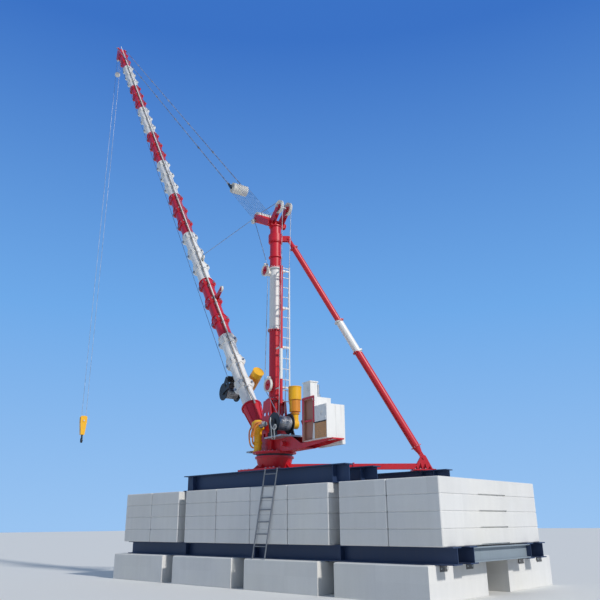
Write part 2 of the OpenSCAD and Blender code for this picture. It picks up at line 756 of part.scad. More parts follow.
// Winch frame, gearbox and motor; the drum turns about Y through the origin.
// base_z is the underside of the side plates, and motor_out how far the motor stands from the plate.
module winch_frame(base_z, motor_out, motor_up) {
  way = sign(base_z);
  gear_r = 120;
  neck_r = 90;
  can_r = 140;
  cap_r = 165;
  color(black)
    for (side = [-1, 1])
      translate([0, side * (drum_half + frame_gap + frame_t / 2), 0]) rotate([90, 0, 0])
        translate([0, 0, -frame_t / 2]) linear_extrude(frame_t) difference() {
          union() {
            circle(r = 95);
            polygon([[-frame_foot, base_z], [frame_foot, base_z], [frame_foot, base_z - way * 45],
              [84, way * 45], [-84, way * 45], [-frame_foot, base_z - way * 45]]);
          }
          circle(r = drum_pin_r);
          translate([0, base_z * 0.62]) circle(r = 62);
        }
  color(yellow) translate([0, -drum_half - frame_gap - frame_t, 0]) {
    // Gearbox with its flange and end boss
    rotate([90, 0, 0]) {
      cylinder(h = 30, r = gear_r + 25);
      cylinder(h = motor_out + 55, r = gear_r);
      cylinder(h = motor_out + 80, r = gear_r - 50);
    }
    // Motor: neck, bolting ring, can and cap with its rim
    translate([0, -motor_out, 0]) {
      cylinder(h = motor_up[0], r = neck_r);
      translate([0, 0, motor_up[0] - 60]) cylinder(h = 30, r = neck_r + 30);
      translate([0, 0, motor_up[0]]) cylinder(h = motor_up[1], r = can_r);
      translate([0, 0, motor_up[0] + motor_up[1]]) rotate_extrude()
        polygon([[0, 0], [cap_r, 0], [cap_r, motor_up[2] - 25], [cap_r + 8, motor_up[2] - 25],
          [cap_r + 8, motor_up[2] - 8], [cap_r, motor_up[2]], [0, motor_up[2]]]);
    }
  }
}

// Winch drum: grooved barrel between two flanges with hubs
drum_grooves = 9;
module winch_drum() {
  barrel = drum_half - drum_flange_t;
  pitch = 2 * barrel / drum_grooves;
  color(black) rotate([90, 0, 0]) {
    rotate_extrude() polygon(concat([[0, -barrel - 1]],
      [for (i = [0 : drum_grooves - 1], k = [0, 1])
        [drum_r - (k == 1 ? 9 : 0), -barrel - (i == 0 && k == 0 ? 1 : 0) + (i + k / 2) * pitch]],
      [[drum_r, barrel + 1], [0, barrel + 1]]));
    for (side = [-1, 1])
      translate([0, 0, side * (drum_half - drum_flange_t / 2)]) {
        cylinder(h = drum_flange_t, r = drum_flange_r, center = true);
        translate([0, 0, side * 8]) cylinder(h = drum_flange_t, r = 85, center = true);
      }
    cylinder(h = 2 * (drum_half + frame_gap + frame_t) - 8, r = drum_pin_r - pin_gap, center = true);
  }
}
module luffing_winch() {
  upper() translate([winch_u, winch_v, winch_z])
    winch_frame(tray_z - winch_z, 130, [310, 300, 340]);
}
module luffing_drum() { upper() translate([winch_u, winch_v, winch_z]) winch_drum(); }

// Power pack on the tail: a housing with a louvred lower panel, and a taller bay at its front
pack_box = [-2640, -1700, -250, 250];
housing_w = pack_box[3] - pack_box[2];
pack_z0 = 3200;
pack_z1 = 3955;
pack_mid = 3590;
bay_u = -2120;
bay_z = 4190;
bay_l = pack_box[1] - bay_u;
panel_depth = 16;
bay_depth = 60;
post = 46;
inlet_r = 85;
// Louvred panel that extends along +X, with its outer face towards +Y
module louvres(l, h, count) {
  p = h / count;
  rotate([90, 0, 90]) linear_extrude(l)
    polygon(concat([[-2, 0]],
      [for (i = [0 : count - 1], k = [0, 1]) k == 0 ? [panel_depth - 3, i * p] : [4, (i + 0.85) * p]],
      [[4, h], [-2, h]]));
}
module power_pack() {
  panel_l = bay_u - pack_box[0] - 30;
  upper() {
    color(white) difference() {
      union() {
        translate([pack_box[0], pack_box[2], pack_z0]) cube([bay_u - pack_box[0] + 1, housing_w, pack_z1 - pack_z0]);
        translate([bay_u, pack_box[2], pack_z0]) cube([bay_l, housing_w, bay_z - pack_z0]);
        // Skirt on the right side, beside the tail frame
        translate([pack_box[0], pack_box[2], pack_z0 - 120]) cube([pack_box[1] - pack_box[0], 80, 121]);
      }
      // Lower panels on both sides, the bay's opening, and the round inlets
      for (v = [pack_box[2] - 1, pack_box[3] - panel_depth])
        translate([pack_box[0] + 15, v, pack_z0 + 15]) cube([panel_l, panel_depth + 1, pack_mid - pack_z0 - 15]);
      translate([bay_u + post, pack_box[3] - bay_depth, pack_z0 + 30])
        cube([bay_l - 2 * post, bay_depth + 1, bay_z - pack_z0 - 30 - post]);
      translate([pack_box[0] + 190, 0, pack_z0 + 558]) rotate([90, 0, 0])
        ring(2 * inlet_r, 2 * inlet_r - 40, 2 * housing_w);
      translate([pack_box[0] + 190, 0, pack_z0 + 558]) rotate([-90, 0, 0])
        translate([0, 0, pack_box[3] - panel_depth]) cylinder(h = 100, r = inlet_r - 30);
      // Seams of the doors
      for (v = [pack_box[2] - 1, pack_box[3] - 5], u = [pack_box[0] + 330])
        translate([u, v, pack_mid + 20]) cube([6, 6, pack_z1 - pack_mid - 40]);
      translate([pack_box[0] - 1, -4, pack_z0 + 25]) cube([6, 8, pack_z1 - pack_z0 - 50]);
    }
    color(tan) {
      translate([pack_box[0] + 15, pack_box[3] - panel_depth, pack_z0 + 15])
        louvres(panel_l, pack_mid - pack_z0 - 15, 9);
      mirror([0, 1, 0]) translate([pack_box[0] + 15, -pack_box[2] - panel_depth, pack_z0 + 15])
        louvres(panel_l, pack_mid - pack_z0 - 15, 9);
      for (i = [0, 1])
        translate([bay_u + post + 14, pack_box[3] - bay_depth - 1, pack_z0 + 50 + i * 430])
          cube([bay_l - 2 * post - 28, 13, 400]);
    }
    // Posts and rails round the bay
    color(red) {
      for (u = [bay_u - post, pack_box[1]])
        translate([u, pack_box[3] - post, pack_z0]) cube([post, post, bay_z - pack_z0 + 20]);
      translate([bay_u - post, pack_box[3] - post, bay_z]) cube([bay_l + 2 * post, post, 20]);
    }
  }
}

// Control box on the bay, with a door, vents and a roof that overhangs, and the exhaust beside it
box_u = [-2010, -1715];
box_v = [50, 250];
box_h = 360;
exhaust_r = 34;
module control_box() {
  w = box_v[1] - box_v[0];
  l = box_u[1] - box_u[0];
  z1 = bay_z + 20;
  upper() {
    color(white) difference() {
      union() {
        translate([box_u[0], box_v[0], bay_z + seat]) cube([l, w - post - 2, box_h]);
        translate([box_u[0], box_v[0], z1 + seat]) cube([l, w, box_h - 20]);
        translate([box_u[0] - 20, box_v[0] - 20, bay_z + box_h - 1]) cube([l + 40, w + 40, 26]);
      }
      translate([box_u[0] + 20, box_v[1] - 5, z1 + 25]) cube([4, 6, box_h - 90]);
      translate([box_u[1] - 26, box_v[1] - 5, z1 + 25]) cube([4, 6, box_h - 90]);
      for (i = [0 : 4])
        translate([box_u[0] + 45, box_v[1] - 12, z1 + 110 + i * 30]) cube([l * 0.32, 13, 14]);
    }
    color(grey) translate([box_u[1] - 90, -110, bay_z + seat]) difference() {
      union() {
        cylinder(h = 120, r = exhaust_r + 22);
        cylinder(h = 420, r = exhaust_r);
      }
      translate([0, 0, 200]) cylinder(h = 300, r = exhaust_r - 6);
      translate([-100, -100, 420]) rotate([0, 40, 0]) cube([260, 200, 200]);
    }
  }
}

// Slewing drive at the front left of the mast foot
module slew_drive() {
  upper() translate([120, 420, tail_z]) {
    color(yellow) {
      cylinder(h = 34, r = 125);
      cylinder(h = 560, r = 98);
      for (z = [190, 226, 400]) translate([0, 0, z]) cylinder(h = 24, r = 116);
      translate([0, 0, 500]) cylinder(h = 61, r1 = 98, r2 = 140);
      translate([0, 0, 560]) cylinder(h = 180, r = 160);
      translate([0, 0, 740]) cylinder(h = 50, r1 = 150, r2 = 90);
    }
    color(grey) translate([-140, 0, 660]) rotate([0, -90, 0]) {
      cylinder(h = 190, r = 65);
      translate([0, 0, 10]) cylinder(h = 22, r = 86);
      translate([0, 0, 180]) cylinder(h = 60, r = 52);
    }
  }
}

// Boom foot: a flared tube with the eye for the foot pin
boom_flange_t = 22;
boom_flange_d = boom_d + 90;
foot_flare = boom_d / 2 + 80;
rim_s = boom_foot_l - 300;
module boom_foot() {
  color(red) on_boom() difference() {
    union() {
      rotate([90, 0, 0]) cylinder(h = boom_eye_w, r = 2 * boom_pin_r, center = true);
      translate([0, -boom_eye_w / 2, -80]) cube([360, boom_eye_w, 160]);
      translate([300, 0, 0]) rotate([0, 90, 0]) rotate_extrude()
        polygon([[0, 0], [140, 0], [190, 450], [foot_flare - 25, rim_s - 40], [foot_flare, rim_s - 40],
          [foot_flare, rim_s], [0, rim_s]]);
      // Ribs along the flare
      for (a = [22.5 : 45 : 360])
        rotate([a, 0, 0]) rotate([90, 0, 0]) translate([0, 0, -7]) linear_extrude(14)
          polygon([[360, 100], [400, 150], [750, 212], [rim_s + 262, foot_flare - 4], [rim_s + 262, 100]]);
    }
    rotate([90, 0, 0]) cylinder(h = 800, r = boom_pin_r, center = true);
  }
}

// Boom sections: at the upper end of each third a sleeve with a flange and four coupling ears
sleeve_l = 300;
sleeve_t = 25;
ear_hole_r = 30;
module ear() {
  // One rounded ear with its pin hole, in the plane of the boom axis, standing on the sleeve
  rotate([90, 0, 0]) translate([0, 0, -40]) linear_extrude(80)
    difference() {
      intersection() {
        translate([0, boom_d / 2 - 60]) circle(r = ear_reach + 60);
        translate([-400, boom_d / 2 + 2]) square([800, 400]);
      }
      translate([0, boom_d / 2 + ear_reach - 42]) circle(r = ear_hole_r);
    }
}
module boom_tube(l, parts = 3) {
  bore = boom_d - 2 * boom_wall;
  rotate([0, 90, 0]) {
    tube(boom_d, boom_wall, l);
    ring(boom_flange_d, bore, boom_flange_t);
    for (k = [1 : parts]) {
      translate([0, 0, k * l / parts - boom_flange_t]) ring(boom_flange_d, bore, boom_flange_t);
      translate([0, 0, k * l / parts - sleeve_l]) ring(boom_d + 2 * sleeve_t, bore, sleeve_l - 1);
    }
  }
  for (k = [1 : parts], a = [45 : 90 : 315])
    translate([k * l / parts - sleeve_l / 2 - 16, 0, 0]) rotate([a, 0, 0]) ear();
}
module boom_section(i) {
  c = i % 2 == 1 ? white : red;
  color(c) on_boom() translate([boom_foot_l + (i - 1) * section_l, 0, 0]) boom_tube(section_l);
}

// Boom head
section_count = 9;
head_s = boom_foot_l + section_count * section_l;
boom_l = head_s + boom_head_l;
tip_s = boom_l - 500;
tip_p = -300;
tip_r = 220;
tip_w = 60;
tip_v = 100;
tip_pin_r = 30;
cheek_v = 170;
module boom_head() {
  color(red) on_boom() translate([head_s, 0, 0]) {
    boom_tube(boom_head_l - 1000, 2);
    difference() {
      for (side = [-1, 1])
        translate([0, side * cheek_v, 0]) rotate([90, 0, 0]) translate([0, 0, -12])
          linear_extrude(24)
            polygon([[boom_head_l - 1100, -160], [boom_head_l - 1100, 160],
              [boom_head_l - 60, 165], [boom_head_l, 110], [boom_head_l, 0], [boom_head_l - 390, -400],
              [boom_head_l - 420, -420], [boom_head_l - 580, -420], [boom_head_l - 620, -390]]);
      translate([tip_s - head_s, 0, tip_p]) rotate([90, 0, 0])
        cylinder(h = 800, r = tip_pin_r, center = true);
    }
    translate([boom_head_l - 1000, -cheek_v, 100]) cube([930, 2 * cheek_v, 20]);
    // Cross plates between the cheeks, and the bosses at the pendants' eyes
    translate([boom_head_l - 880, -cheek_v, -130]) cube([20, 2 * cheek_v, 231]);
    translate([boom_head_l - 160, -cheek_v, -10]) cube([20, 2 * cheek_v, 111]);
    for (side = [-1, 1])
      translate([tip_back_s - head_s, side * (cheek_v + 43), tip_back_p]) rotate([90, 0, 0])
        cylinder(h = 76, r = 40, center = true);
  }
}
module tip_sheaves() {
  on_boom() translate([tip_s, 0, tip_p]) {
    color(sheave_white) for (side = [-1, 1])
      translate([0, side * tip_v, 0]) sheave(tip_r, tip_w);
    color(grey) rotate([90, 0, 0]) cylinder(h = 2 * cheek_v + 60, r = tip_pin_r - pin_gap, center = true);
  }
}

// Hoist winch on the belly of the first boom section
hoist_s = 2480;
hoist_p = -620;
hoist_v = 60;
module hoist_winch() {
  on_boom() {
    translate([hoist_s, hoist_v, hoist_p]) winch_frame(-hoist_p - boom_d / 2, 240, [100, 200, 640]);
    color(black) difference() {
      for (s = [hoist_s - 140, hoist_s + 110])
        translate([s, hoist_v - drum_half - 22, -boom_d / 2 - 120]) cube([30, 2 * drum_half + 44, 210]);
      translate([hoist_s - 400, 0, 0]) rotate([0, 90, 0]) cylinder(h = 800, r = boom_d / 2 + seat);
      translate([hoist_s, hoist_v, hoist_p]) rotate([90, 0, 0])
        cylinder(h = 2 * drum_half + 2, r = drum_flange_r + 15, center = true);
    }
  }
}
module hoist_drum() { on_boom() translate([hoist_s, hoist_v, hoist_p]) winch_drum(); }

// Rope brackets on the back of the boom, one on a sleeve and one on the plain tube. Each row gives
// the place along the boom, the reach from its axis, the sheave's radius, the seat's radius and the colour.
BRACKETS = [
  [boom_foot_l + section_l * 5 / 3 - 185, 640, 100, boom_d / 2 + sleeve_t, red],
  [boom_foot_l + section_l * 7 / 3 + 110, 340, 90, boom_d / 2, sheave_white]];
module rope_brackets() {
  on_boom() for (b = BRACKETS)
    translate([b[0], 0, 0]) {
      base = b[3] + seat;
      color(b[4]) {
        translate([-90, -60, base]) cube([180, 120, 16]);
        for (side = [-1, 1])
          translate([0, side * 36, 0]) rotate([90, 0, 0]) translate([0, 0, -6]) linear_extrude(12)
            polygon([[-80, base + 15], [80, base + 15], [34, b[1] + 30], [-34, b[1] + 30]]);
        translate([0, 0, b[1]]) rotate([90, 0, 0]) cylinder(h = 100, r = 18, center = true);
      }
      color(sheave_white) translate([0, 0, b[1]]) sheave(b[2], 50, 0);
    }
}

// Points of the luffing gear in the turning frame
tip_back_s = boom_l - 150;
tip_back_p = 120;
tip_u = pivot_u + tip_back_s * cos(luff_rest) - tip_back_p * sin(luff_rest);
tip_z = pivot_z + tip_back_s * sin(luff_rest) + tip_back_p * cos(luff_rest);
line_angle = atan2(tip_z - pack_z, tip_u - pack_u);
line_l = norm([tip_u - pack_u, tip_z - pack_z]);
block_r = 170;
block_half = 280;
module on_line() {
  upper() translate([pack_u, 0, pack_z]) rotate([0, -line_angle, 0]) children();
}
module luffing_falls() {
  color(grey) on_line()
    for (side = [-1, 1], v = pack_v)
      rod([0, v, side * groove_r(pack_r, pack_w)], [falls_l, v, side * groove_r(block_r, pack_w)], rope_d);
}
module floating_block() {
  on_line() translate([falls_l, 0, 0]) {
    color(sheave_white) {
      for (v = pack_v) translate([0, v, 0]) sheave(block_r, pack_w);
      rotate([90, 0, 0]) cylinder(h = 2 * block_half + 4, r = 40, center = true);
    }
    color(black) for (side = [-1, 1])
      translate([0, side * (block_half + 10), 0]) rotate([90, 0, 0]) translate([0, 0, -9])
        linear_extrude(18) hull() {
          circle(r = 60);
          translate([block_r + 90, 0]) circle(r = 40);
        }
    color(black) translate([block_r + 90, 0, 0]) rotate([90, 0, 0])
      cylinder(h = 2 * block_half + 4, r = 24, center = true);
  }
}
pendant_v = 290;
pendant_links = 6;
module pendants() {
  x0 = falls_l + block_r + 90;
  color(grey) on_line()
    for (side = [-1, 1]) {
      translate([x0 + 40 + seat, side * pendant_v, 0]) rotate([0, 90, 0])
        cylinder(h = line_l - x0 - 40 - seat, d = 36);
      for (i = [0 : pendant_links])
        translate([x0 + 60 + i * (line_l - x0 - 160) / pendant_links, side * pendant_v, 0])
          rotate([0, 90, 0]) cylinder(h = 100, d = 70);
    }
}

// Hoist rope, limit weight, hook block and hook
rope_u = pivot_u + tip_s * cos(luff_rest) - tip_p * sin(luff_rest) + groove_r(tip_r, tip_w);
rope_top = pivot_z + tip_s * sin(luff_rest) + tip_p * cos(luff_rest);
hook_block_w = 310;
hook_block_t = 200;
hook_axle_z = 220;
hook_slot = 64;
// Radius of the hook block's sheave, whose rope hangs at tip_v on either side
hook_sheave_r = (tip_v - (rope_d / 2 + seat) * 1.12) / (1 - sheave_rim);
module limit_weight() {
  color(sheave_white) upper() translate([rope_u, 0, rope_top - 1000])
    difference() {
      sphere(r = 150);
      for (side = [-1, 1]) translate([0, side * tip_v, -200]) cylinder(h = 400, r = rope_d / 2 + seat);
    }
}
module hoist_rope() {
  color(grey) upper() for (side = [-1, 1])
    translate([rope_u, side * tip_v, hook_z + hook_axle_z])
      cylinder(h = rope_top - hook_z - hook_axle_z, d = rope_d);
}
swivel_r = 40;
module hook_block() {
  upper() translate([rope_u, 0, hook_z]) {
    color(yellow) difference() {
      union() {
        rotate([90, 0, 90]) translate([0, 0, -hook_block_t / 2]) linear_extrude(hook_block_t)
          polygon([[-hook_block_w / 2, 200], [-90, -450], [90, -450], [hook_block_w / 2, 200],
            [hook_block_w / 2, 400], [hook_block_w / 2 - 50, 450], [50 - hook_block_w / 2, 450],
            [-hook_block_w / 2, 400]]);
        translate([0, 0, hook_axle_z]) rotate([0, 90, 0]) cylinder(h = hook_block_t + 40, r = 62, center = true);
      }
      translate([0, 0, -451]) cylinder(h = 200, r = swivel_r);
      // Slot for the sheave, and the bore for its axle
      translate([-hook_slot / 2, -hook_block_w, hook_axle_z - hook_sheave_r - 30])
        cube([hook_slot, 2 * hook_block_w, 600]);
      translate([0, 0, hook_axle_z]) rotate([0, 90, 0]) cylinder(h = 400, r = 30, center = true);
    }
    color(grey) translate([0, 0, hook_axle_z]) rotate([0, 90, 0])
      cylinder(h = hook_block_t + 60, r = 30, center = true);
    color(sheave_white) translate([0, 0, hook_axle_z]) rotate([0, 0, 90]) sheave(hook_sheave_r, 50, 0);
  }
}
hook_r = 70;
module hook() {
  color(black) upper() translate([rope_u, 0, hook_z - 450]) {
    translate([0, 0, -160]) cylinder(h = 310, r = swivel_r - pin_gap);
    translate([0, 0, -120 - hook_r - 60]) rotate([90, 0, 0]) translate([0, 0, -30])
      linear_extrude(60) difference() {
        circle(r = hook_r + 60);
        circle(r = hook_r);
        polygon([[0, 0], [-300, 40], [-300, 260]]);
      }
  }
}

foot_blocks();
lower_frame_front();
lower_frame_rear();
lower_cross_members();
slab_layer(0);  // slab_layer_1
slab_layer(1);  // slab_layer_2
slab_layer(2);  // slab_layer_3
slab_layer(3);  // slab_layer_4
upper_beam_front();
upper_beam_middle();
upper_beam_rear();
access_ladder();
pedestal();
sill_right();
sill_left();
stiff_leg_right();
stiff_leg_left();
leg_collar();
turntable();
mast_foot();
mast_tube_lower();
mast_tube_middle();
mast_tube_upper();
mast_head();
head_sheaves();
rear_sheaves();
mast_ladder();
guide_sheaves();
tail_frame();
winch_platform();
luffing_winch();
luffing_drum();
power_pack();
control_box();
slew_drive();
boom_foot();
boom_section(1);  // boom_section_1
boom_section(2);  // boom_section_2
boom_section(3);  // boom_section_3
boom_section(4);  // boom_section_4
boom_section(5);  // boom_section_5
boom_section(6);  // boom_section_6
boom_section(7);  // boom_section_7
boom_section(8);  // boom_section_8
boom_section(9);  // boom_section_9
boom_head();
tip_sheaves();
hoist_winch();
hoist_drum();
rope_brackets();
luffing_falls();
floating_block();
pendants();
limit_weight();
hoist_rope();
hook_block();
hook();
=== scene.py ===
# %% [markdown]
# # A stiff-leg derrick crane on its ballast
# The crane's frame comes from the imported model, at its real size and in metres. This notebook gives
# every surface its finish, adds the ropes, bolts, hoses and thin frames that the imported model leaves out,
# and lights it on a plain floor. Each step first says what the real thing is, and then how it is made.

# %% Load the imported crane
import json
from math import asin, atan2, cos, hypot, pi, radians, remainder, sin, tau

import bmesh
import bpy
from mathutils import Matrix, Vector


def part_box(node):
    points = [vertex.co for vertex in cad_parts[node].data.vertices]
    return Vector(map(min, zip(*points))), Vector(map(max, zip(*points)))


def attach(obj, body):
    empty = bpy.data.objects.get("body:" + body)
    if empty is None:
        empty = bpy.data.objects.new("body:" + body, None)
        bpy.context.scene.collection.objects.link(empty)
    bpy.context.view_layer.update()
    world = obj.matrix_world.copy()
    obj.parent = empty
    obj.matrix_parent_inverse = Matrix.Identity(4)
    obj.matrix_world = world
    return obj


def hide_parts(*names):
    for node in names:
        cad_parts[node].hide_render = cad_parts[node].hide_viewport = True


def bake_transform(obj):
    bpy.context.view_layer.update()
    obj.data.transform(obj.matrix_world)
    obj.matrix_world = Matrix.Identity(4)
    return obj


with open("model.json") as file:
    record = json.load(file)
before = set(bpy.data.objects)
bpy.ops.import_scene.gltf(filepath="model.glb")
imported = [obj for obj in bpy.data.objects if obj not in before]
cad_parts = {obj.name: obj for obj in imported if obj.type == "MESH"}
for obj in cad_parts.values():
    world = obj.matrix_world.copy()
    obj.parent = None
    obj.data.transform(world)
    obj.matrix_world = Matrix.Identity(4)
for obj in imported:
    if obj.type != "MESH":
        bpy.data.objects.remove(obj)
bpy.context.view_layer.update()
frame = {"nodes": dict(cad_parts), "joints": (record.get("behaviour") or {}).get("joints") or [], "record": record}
nodes = frame["nodes"]
joints = {j["name"]: j for j in frame["joints"]}


def add_object(name, data):
    """A new object in the scene."""
    thing = bpy.data.objects.new(name, data)
    bpy.context.scene.collection.objects.link(thing)
    return thing


print("nodes:", len(nodes), "joints:", len(joints))

# %% [markdown]
# ## Directions
# The turning part of the crane isn't square to the base, so places on it are easier to say in its own
# directions: ahead along the boom, to its left, and up. The luffing joint's axis points to the right, and
# that gives both. The boom has its own directions too: along it, and towards its back, the upper side.

# %% Directions of the turning part and of the boom
UP = Vector((0, 0, 1))
LEFT = -Vector(joints["luff"]["axis"]).normalized()
AHEAD = LEFT.cross(UP)
BOOM_PIN = Vector(joints["luff"]["pos_m"])
BOOM_ANGLE = radians(54.8)
ALONG = AHEAD * cos(BOOM_ANGLE) + UP * sin(BOOM_ANGLE)
BACK = -AHEAD * sin(BOOM_ANGLE) + UP * cos(BOOM_ANGLE)


def turning(u, v, z):
    """A point ahead of the mast axis by u, to its left by v, and at height z."""
    return AHEAD * u + LEFT * v + UP * z


def on_boom(s, v, b):
    """A point s along the boom from its foot pin, v to the left and b towards its back."""
    return BOOM_PIN + ALONG * s + LEFT * v + BACK * b


print("ahead", tuple(round(x, 3) for x in AHEAD), "along", tuple(round(x, 3) for x in ALONG))

# %% [markdown]
# ## Places that several steps share
# Sheaves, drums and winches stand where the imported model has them. On the turning part a place is
# (ahead, up), and on the boom it is (along, towards the back). A name that ends in V is a distance to
# the left of the middle.

# %% Shared places
DRUM_AT, WINCH_V = (-0.600, 3.770), 0.160
HOIST_AT, HOIST_V = (2.480, -0.620), 0.060
GEARBOX_FROM = 0.2645
PACK_AT = (0.680, 9.920)
REAR_AT = (-0.420, 9.800)
TIP_AT = (29.490, -0.300)
GUIDES = [((-0.060, 4.810), 0.180), ((0.150, 8.060), 0.165)]
GUIDE_V = 0.240
BRACKETS = [((5.878, 0.640), 0.100), ((8.067, 0.340), 0.090)]
HOOK_AXLE_Z = 6.220
ROPE_U = AHEAD.dot(Vector(joints["hoist"]["pos_m"]))
print("the hoist rope hangs", round(ROPE_U, 3), "m ahead of the mast axis")

# %% [markdown]
# ## Camera
# The photograph was taken from eye height at the front right corner of the base, looking up and to the
# left. The camera stands at the same place, is turned and tilted the same way, and has the same angle
# of view.

# %% Camera
CAMERA_AT = Vector((11.944, -11.988, 1.40))
CAMERA_HEADING = Vector((-0.677, 0.736, 0)).normalized()
CAMERA_PITCH = radians(18.9)
CAMERA_ROLL = radians(-0.46)
CAMERA_REACH = 500
FOCAL_PIXELS = 655
FRAME_PIXELS = 600
SENSOR_MM = 36

look = CAMERA_HEADING * cos(CAMERA_PITCH) + UP * sin(CAMERA_PITCH)
level_right = look.cross(UP).normalized()
level_up = level_right.cross(look)
right = level_right * cos(CAMERA_ROLL) + level_up * sin(CAMERA_ROLL)
upright = right.cross(look)
camera_data = bpy.data.cameras.new("camera")
camera_data.sensor_width = SENSOR_MM
camera_data.lens = SENSOR_MM * FOCAL_PIXELS / FRAME_PIXELS
camera_data.clip_end = CAMERA_REACH
camera = add_object("camera", camera_data)
camera.matrix_world = Matrix((right, upright, -look)).transposed().to_4x4()
camera.location = CAMERA_AT
bpy.context.scene.camera = camera
print("lens", round(camera_data.lens, 2), "mm")

# %% [markdown]
# ## Shader maths
# A finish is easier to read as a formula than as a list of links. `Socket` wraps one output of a node
# tree, so that `dirt * 0.4 + 0.1` adds the Math nodes that it says, and `add_node` adds any other node:
# settings first, then the values or links of its inputs. `Finish` makes a material with them.

# %% Sockets that can be added and multiplied
def plug(tree, socket, value):
    """Sets a socket to a value, or links it to a Socket or to each one of a list."""
    if isinstance(value, Socket):
        tree.links.new(value.out, socket)
    elif isinstance(value, list) and isinstance(value[0], Socket):
        for one in value:
            tree.links.new(one.out, socket)
    elif hasattr(value, "__len__") and len(value) == 3 and len(socket.default_value) == 4:
        socket.default_value = (*value, 1)
    else:
        socket.default_value = value


class Socket:
    """One output of a node, with arithmetic."""

    def __init__(self, tree, out):
        self.tree = tree
        self.out = out

    def maths(self, operation, *values):
        return add_node(self.tree, "ShaderNodeMath", {"operation": operation}, dict(enumerate(values)))

    def __add__(self, other):
        return self.maths("ADD", self, other)

    def __sub__(self, other):
        return self.maths("SUBTRACT", self, other)

    def __rsub__(self, other):
        return self.maths("SUBTRACT", other, self)

    def __mul__(self, other):
        return self.maths("MULTIPLY", self, other)

    def __truediv__(self, other):
        return self.maths("DIVIDE", self, other)

    __radd__ = __add__
    __rmul__ = __mul__

    def above(self, limit):
        return self.maths("GREATER_THAN", self, limit)

    def below(self, limit):
        return self.maths("LESS_THAN", self, limit)

    def floor(self):
        return self.maths("FLOOR", self)

    def clipped(self):
        return self.maths("MAXIMUM", self.maths("MINIMUM", self, 1.0), 0.0)


def add_node(tree, kind, settings=None, inputs=None, output=0):
    """Adds a node: its settings, then its inputs by name or number, and gives one output."""
    node = tree.nodes.new(kind)
    for key, value in (settings or {}).items():
        setattr(node, key, value)
    for key, value in (inputs or {}).items():
        plug(tree, node.inputs[key], value)
    return Socket(tree, node.outputs[output])


class Finish:
    """A material made of formulas. Its Principled shader takes the results."""

    def __init__(self, name):
        self.material = bpy.data.materials.new(name)
        self.material.use_nodes = True
        self.tree = self.material.node_tree
        self.shader = self.tree.nodes["Principled BSDF"]
        self.place = self.node("TexCoord", output="Object")
        self.normal = self.node("NewGeometry", output="Normal")

    def node(self, kind, settings=None, inputs=None, output=0):
        """Adds a shader node, as add_node does."""
        return add_node(self.tree, "ShaderNode" + kind, settings, inputs, output)

    def axis(self, name):
        """One coordinate of the place on the object: X, Y or Z."""
        return self.node("SeparateXYZ", inputs={0: self.place}, output=name)

    def stretched(self, scale):
        """The place, scaled along each axis."""
        return self.node("Mapping", inputs={"Vector": self.place, "Scale": scale})

    def noise(self, scale, detail=3, rough=0.55, place=None):
        """Cloudy noise from 0 to 1."""
        values = {"Vector": place or self.place, "Scale": scale, "Detail": detail, "Roughness": rough}
        return self.node("TexNoise", inputs=values)

    def ramp(self, value, low, high):
        """0 up to low, 1 from high, and a straight line between."""
        values = {"Value": value, "From Min": low, "From Max": high}
        return self.node("MapRange", {"clamp": True}, values)

    def mix(self, share, first, second):
        """The first colour where share is 0, the second where it is 1."""
        values = {0: share, 6: first, 7: second}
        return self.node("Mix", {"data_type": "RGBA"}, values, output=2)

    def tint(self, colour, factor):
        """A colour made lighter or darker by a factor."""
        values = {0: 1.0, 6: colour, 7: self.node("CombineColor", inputs={0: factor, 1: factor, 2: factor})}
        return self.node("Mix", {"data_type": "RGBA", "blend_type": "MULTIPLY"}, values, output=2)

    def bump(self, height, depth, strength):
        """A normal from a height, whose full range stands for a depth in metres."""
        values = {"Height": height, "Distance": depth, "Strength": strength}
        self.set("Normal", self.node("Bump", inputs=values))

    def set(self, name, value):
        """Gives an input of the shader its value or formula."""
        plug(self.tree, self.shader.inputs[name], value)


materials = {}
print("shader helpers ready")

# %% [markdown]
# ## Concrete
# The slabs and foot blocks are cast in steel moulds: light grey, matt, with clouds of tone, fine pores where
# air was trapped, and faint runs under the edges where rain has washed down. Neighbouring slabs differ a
# little, so the tone also changes with the cell of the stack that a point lies in.

# %% Concrete
SLAB_PITCH = (1.23, 6.0, 0.318)
SLABS_FROM = (0, 0, 0.98)


def make_concrete():
    finish = Finish("concrete")
    clouds = finish.noise(0.9, detail=6, rough=0.6)
    grain = finish.noise(55, detail=4, rough=0.7)
    runs = finish.noise(1.0, detail=5, place=finish.stretched((7, 7, 0.7)))
    cell = finish.node("CombineXYZ", inputs={
        k: ((finish.axis("XYZ"[k]) - SLABS_FROM[k]) / SLAB_PITCH[k]).floor() for k in range(3)})
    tone = finish.node("TexWhiteNoise", inputs={0: cell})
    pores = finish.node("TexVoronoi", inputs={"Vector": finish.place, "Scale": 38.0})
    sparse = finish.ramp(finish.noise(3.0, detail=2), 0.48, 0.62)
    pore = (1 - finish.ramp(pores, 0.06, 0.16)) * sparse
    light = 0.84 + clouds * 0.16 + grain * 0.08 + tone * 0.06 - runs * 0.10 - pore * 0.22
    warm = finish.mix(finish.ramp(finish.noise(0.5), 0.4, 0.7), (0.76, 0.76, 0.75), (0.78, 0.77, 0.73))
    finish.set("Base Color", finish.tint(warm, light))
    finish.set("Roughness", 0.86 + grain * 0.1)
    finish.set("Specular IOR Level", 0.3)
    finish.bump(grain * 0.4 + clouds * 0.4 - pore * 1.5, 0.004, 0.6)
    return finish.material


materials["concrete"] = make_concrete()
print("concrete ready")

# %% [markdown]
# ## Paint
# The steelwork has a two-coat paint: a colour with a soft gloss over a faint orange peel. Outdoors it gathers
# dust on what faces up, grime in vertical runs, and small chips down to the grey primer. One function makes
# all the paints from a table of their colours, roughness and wear.

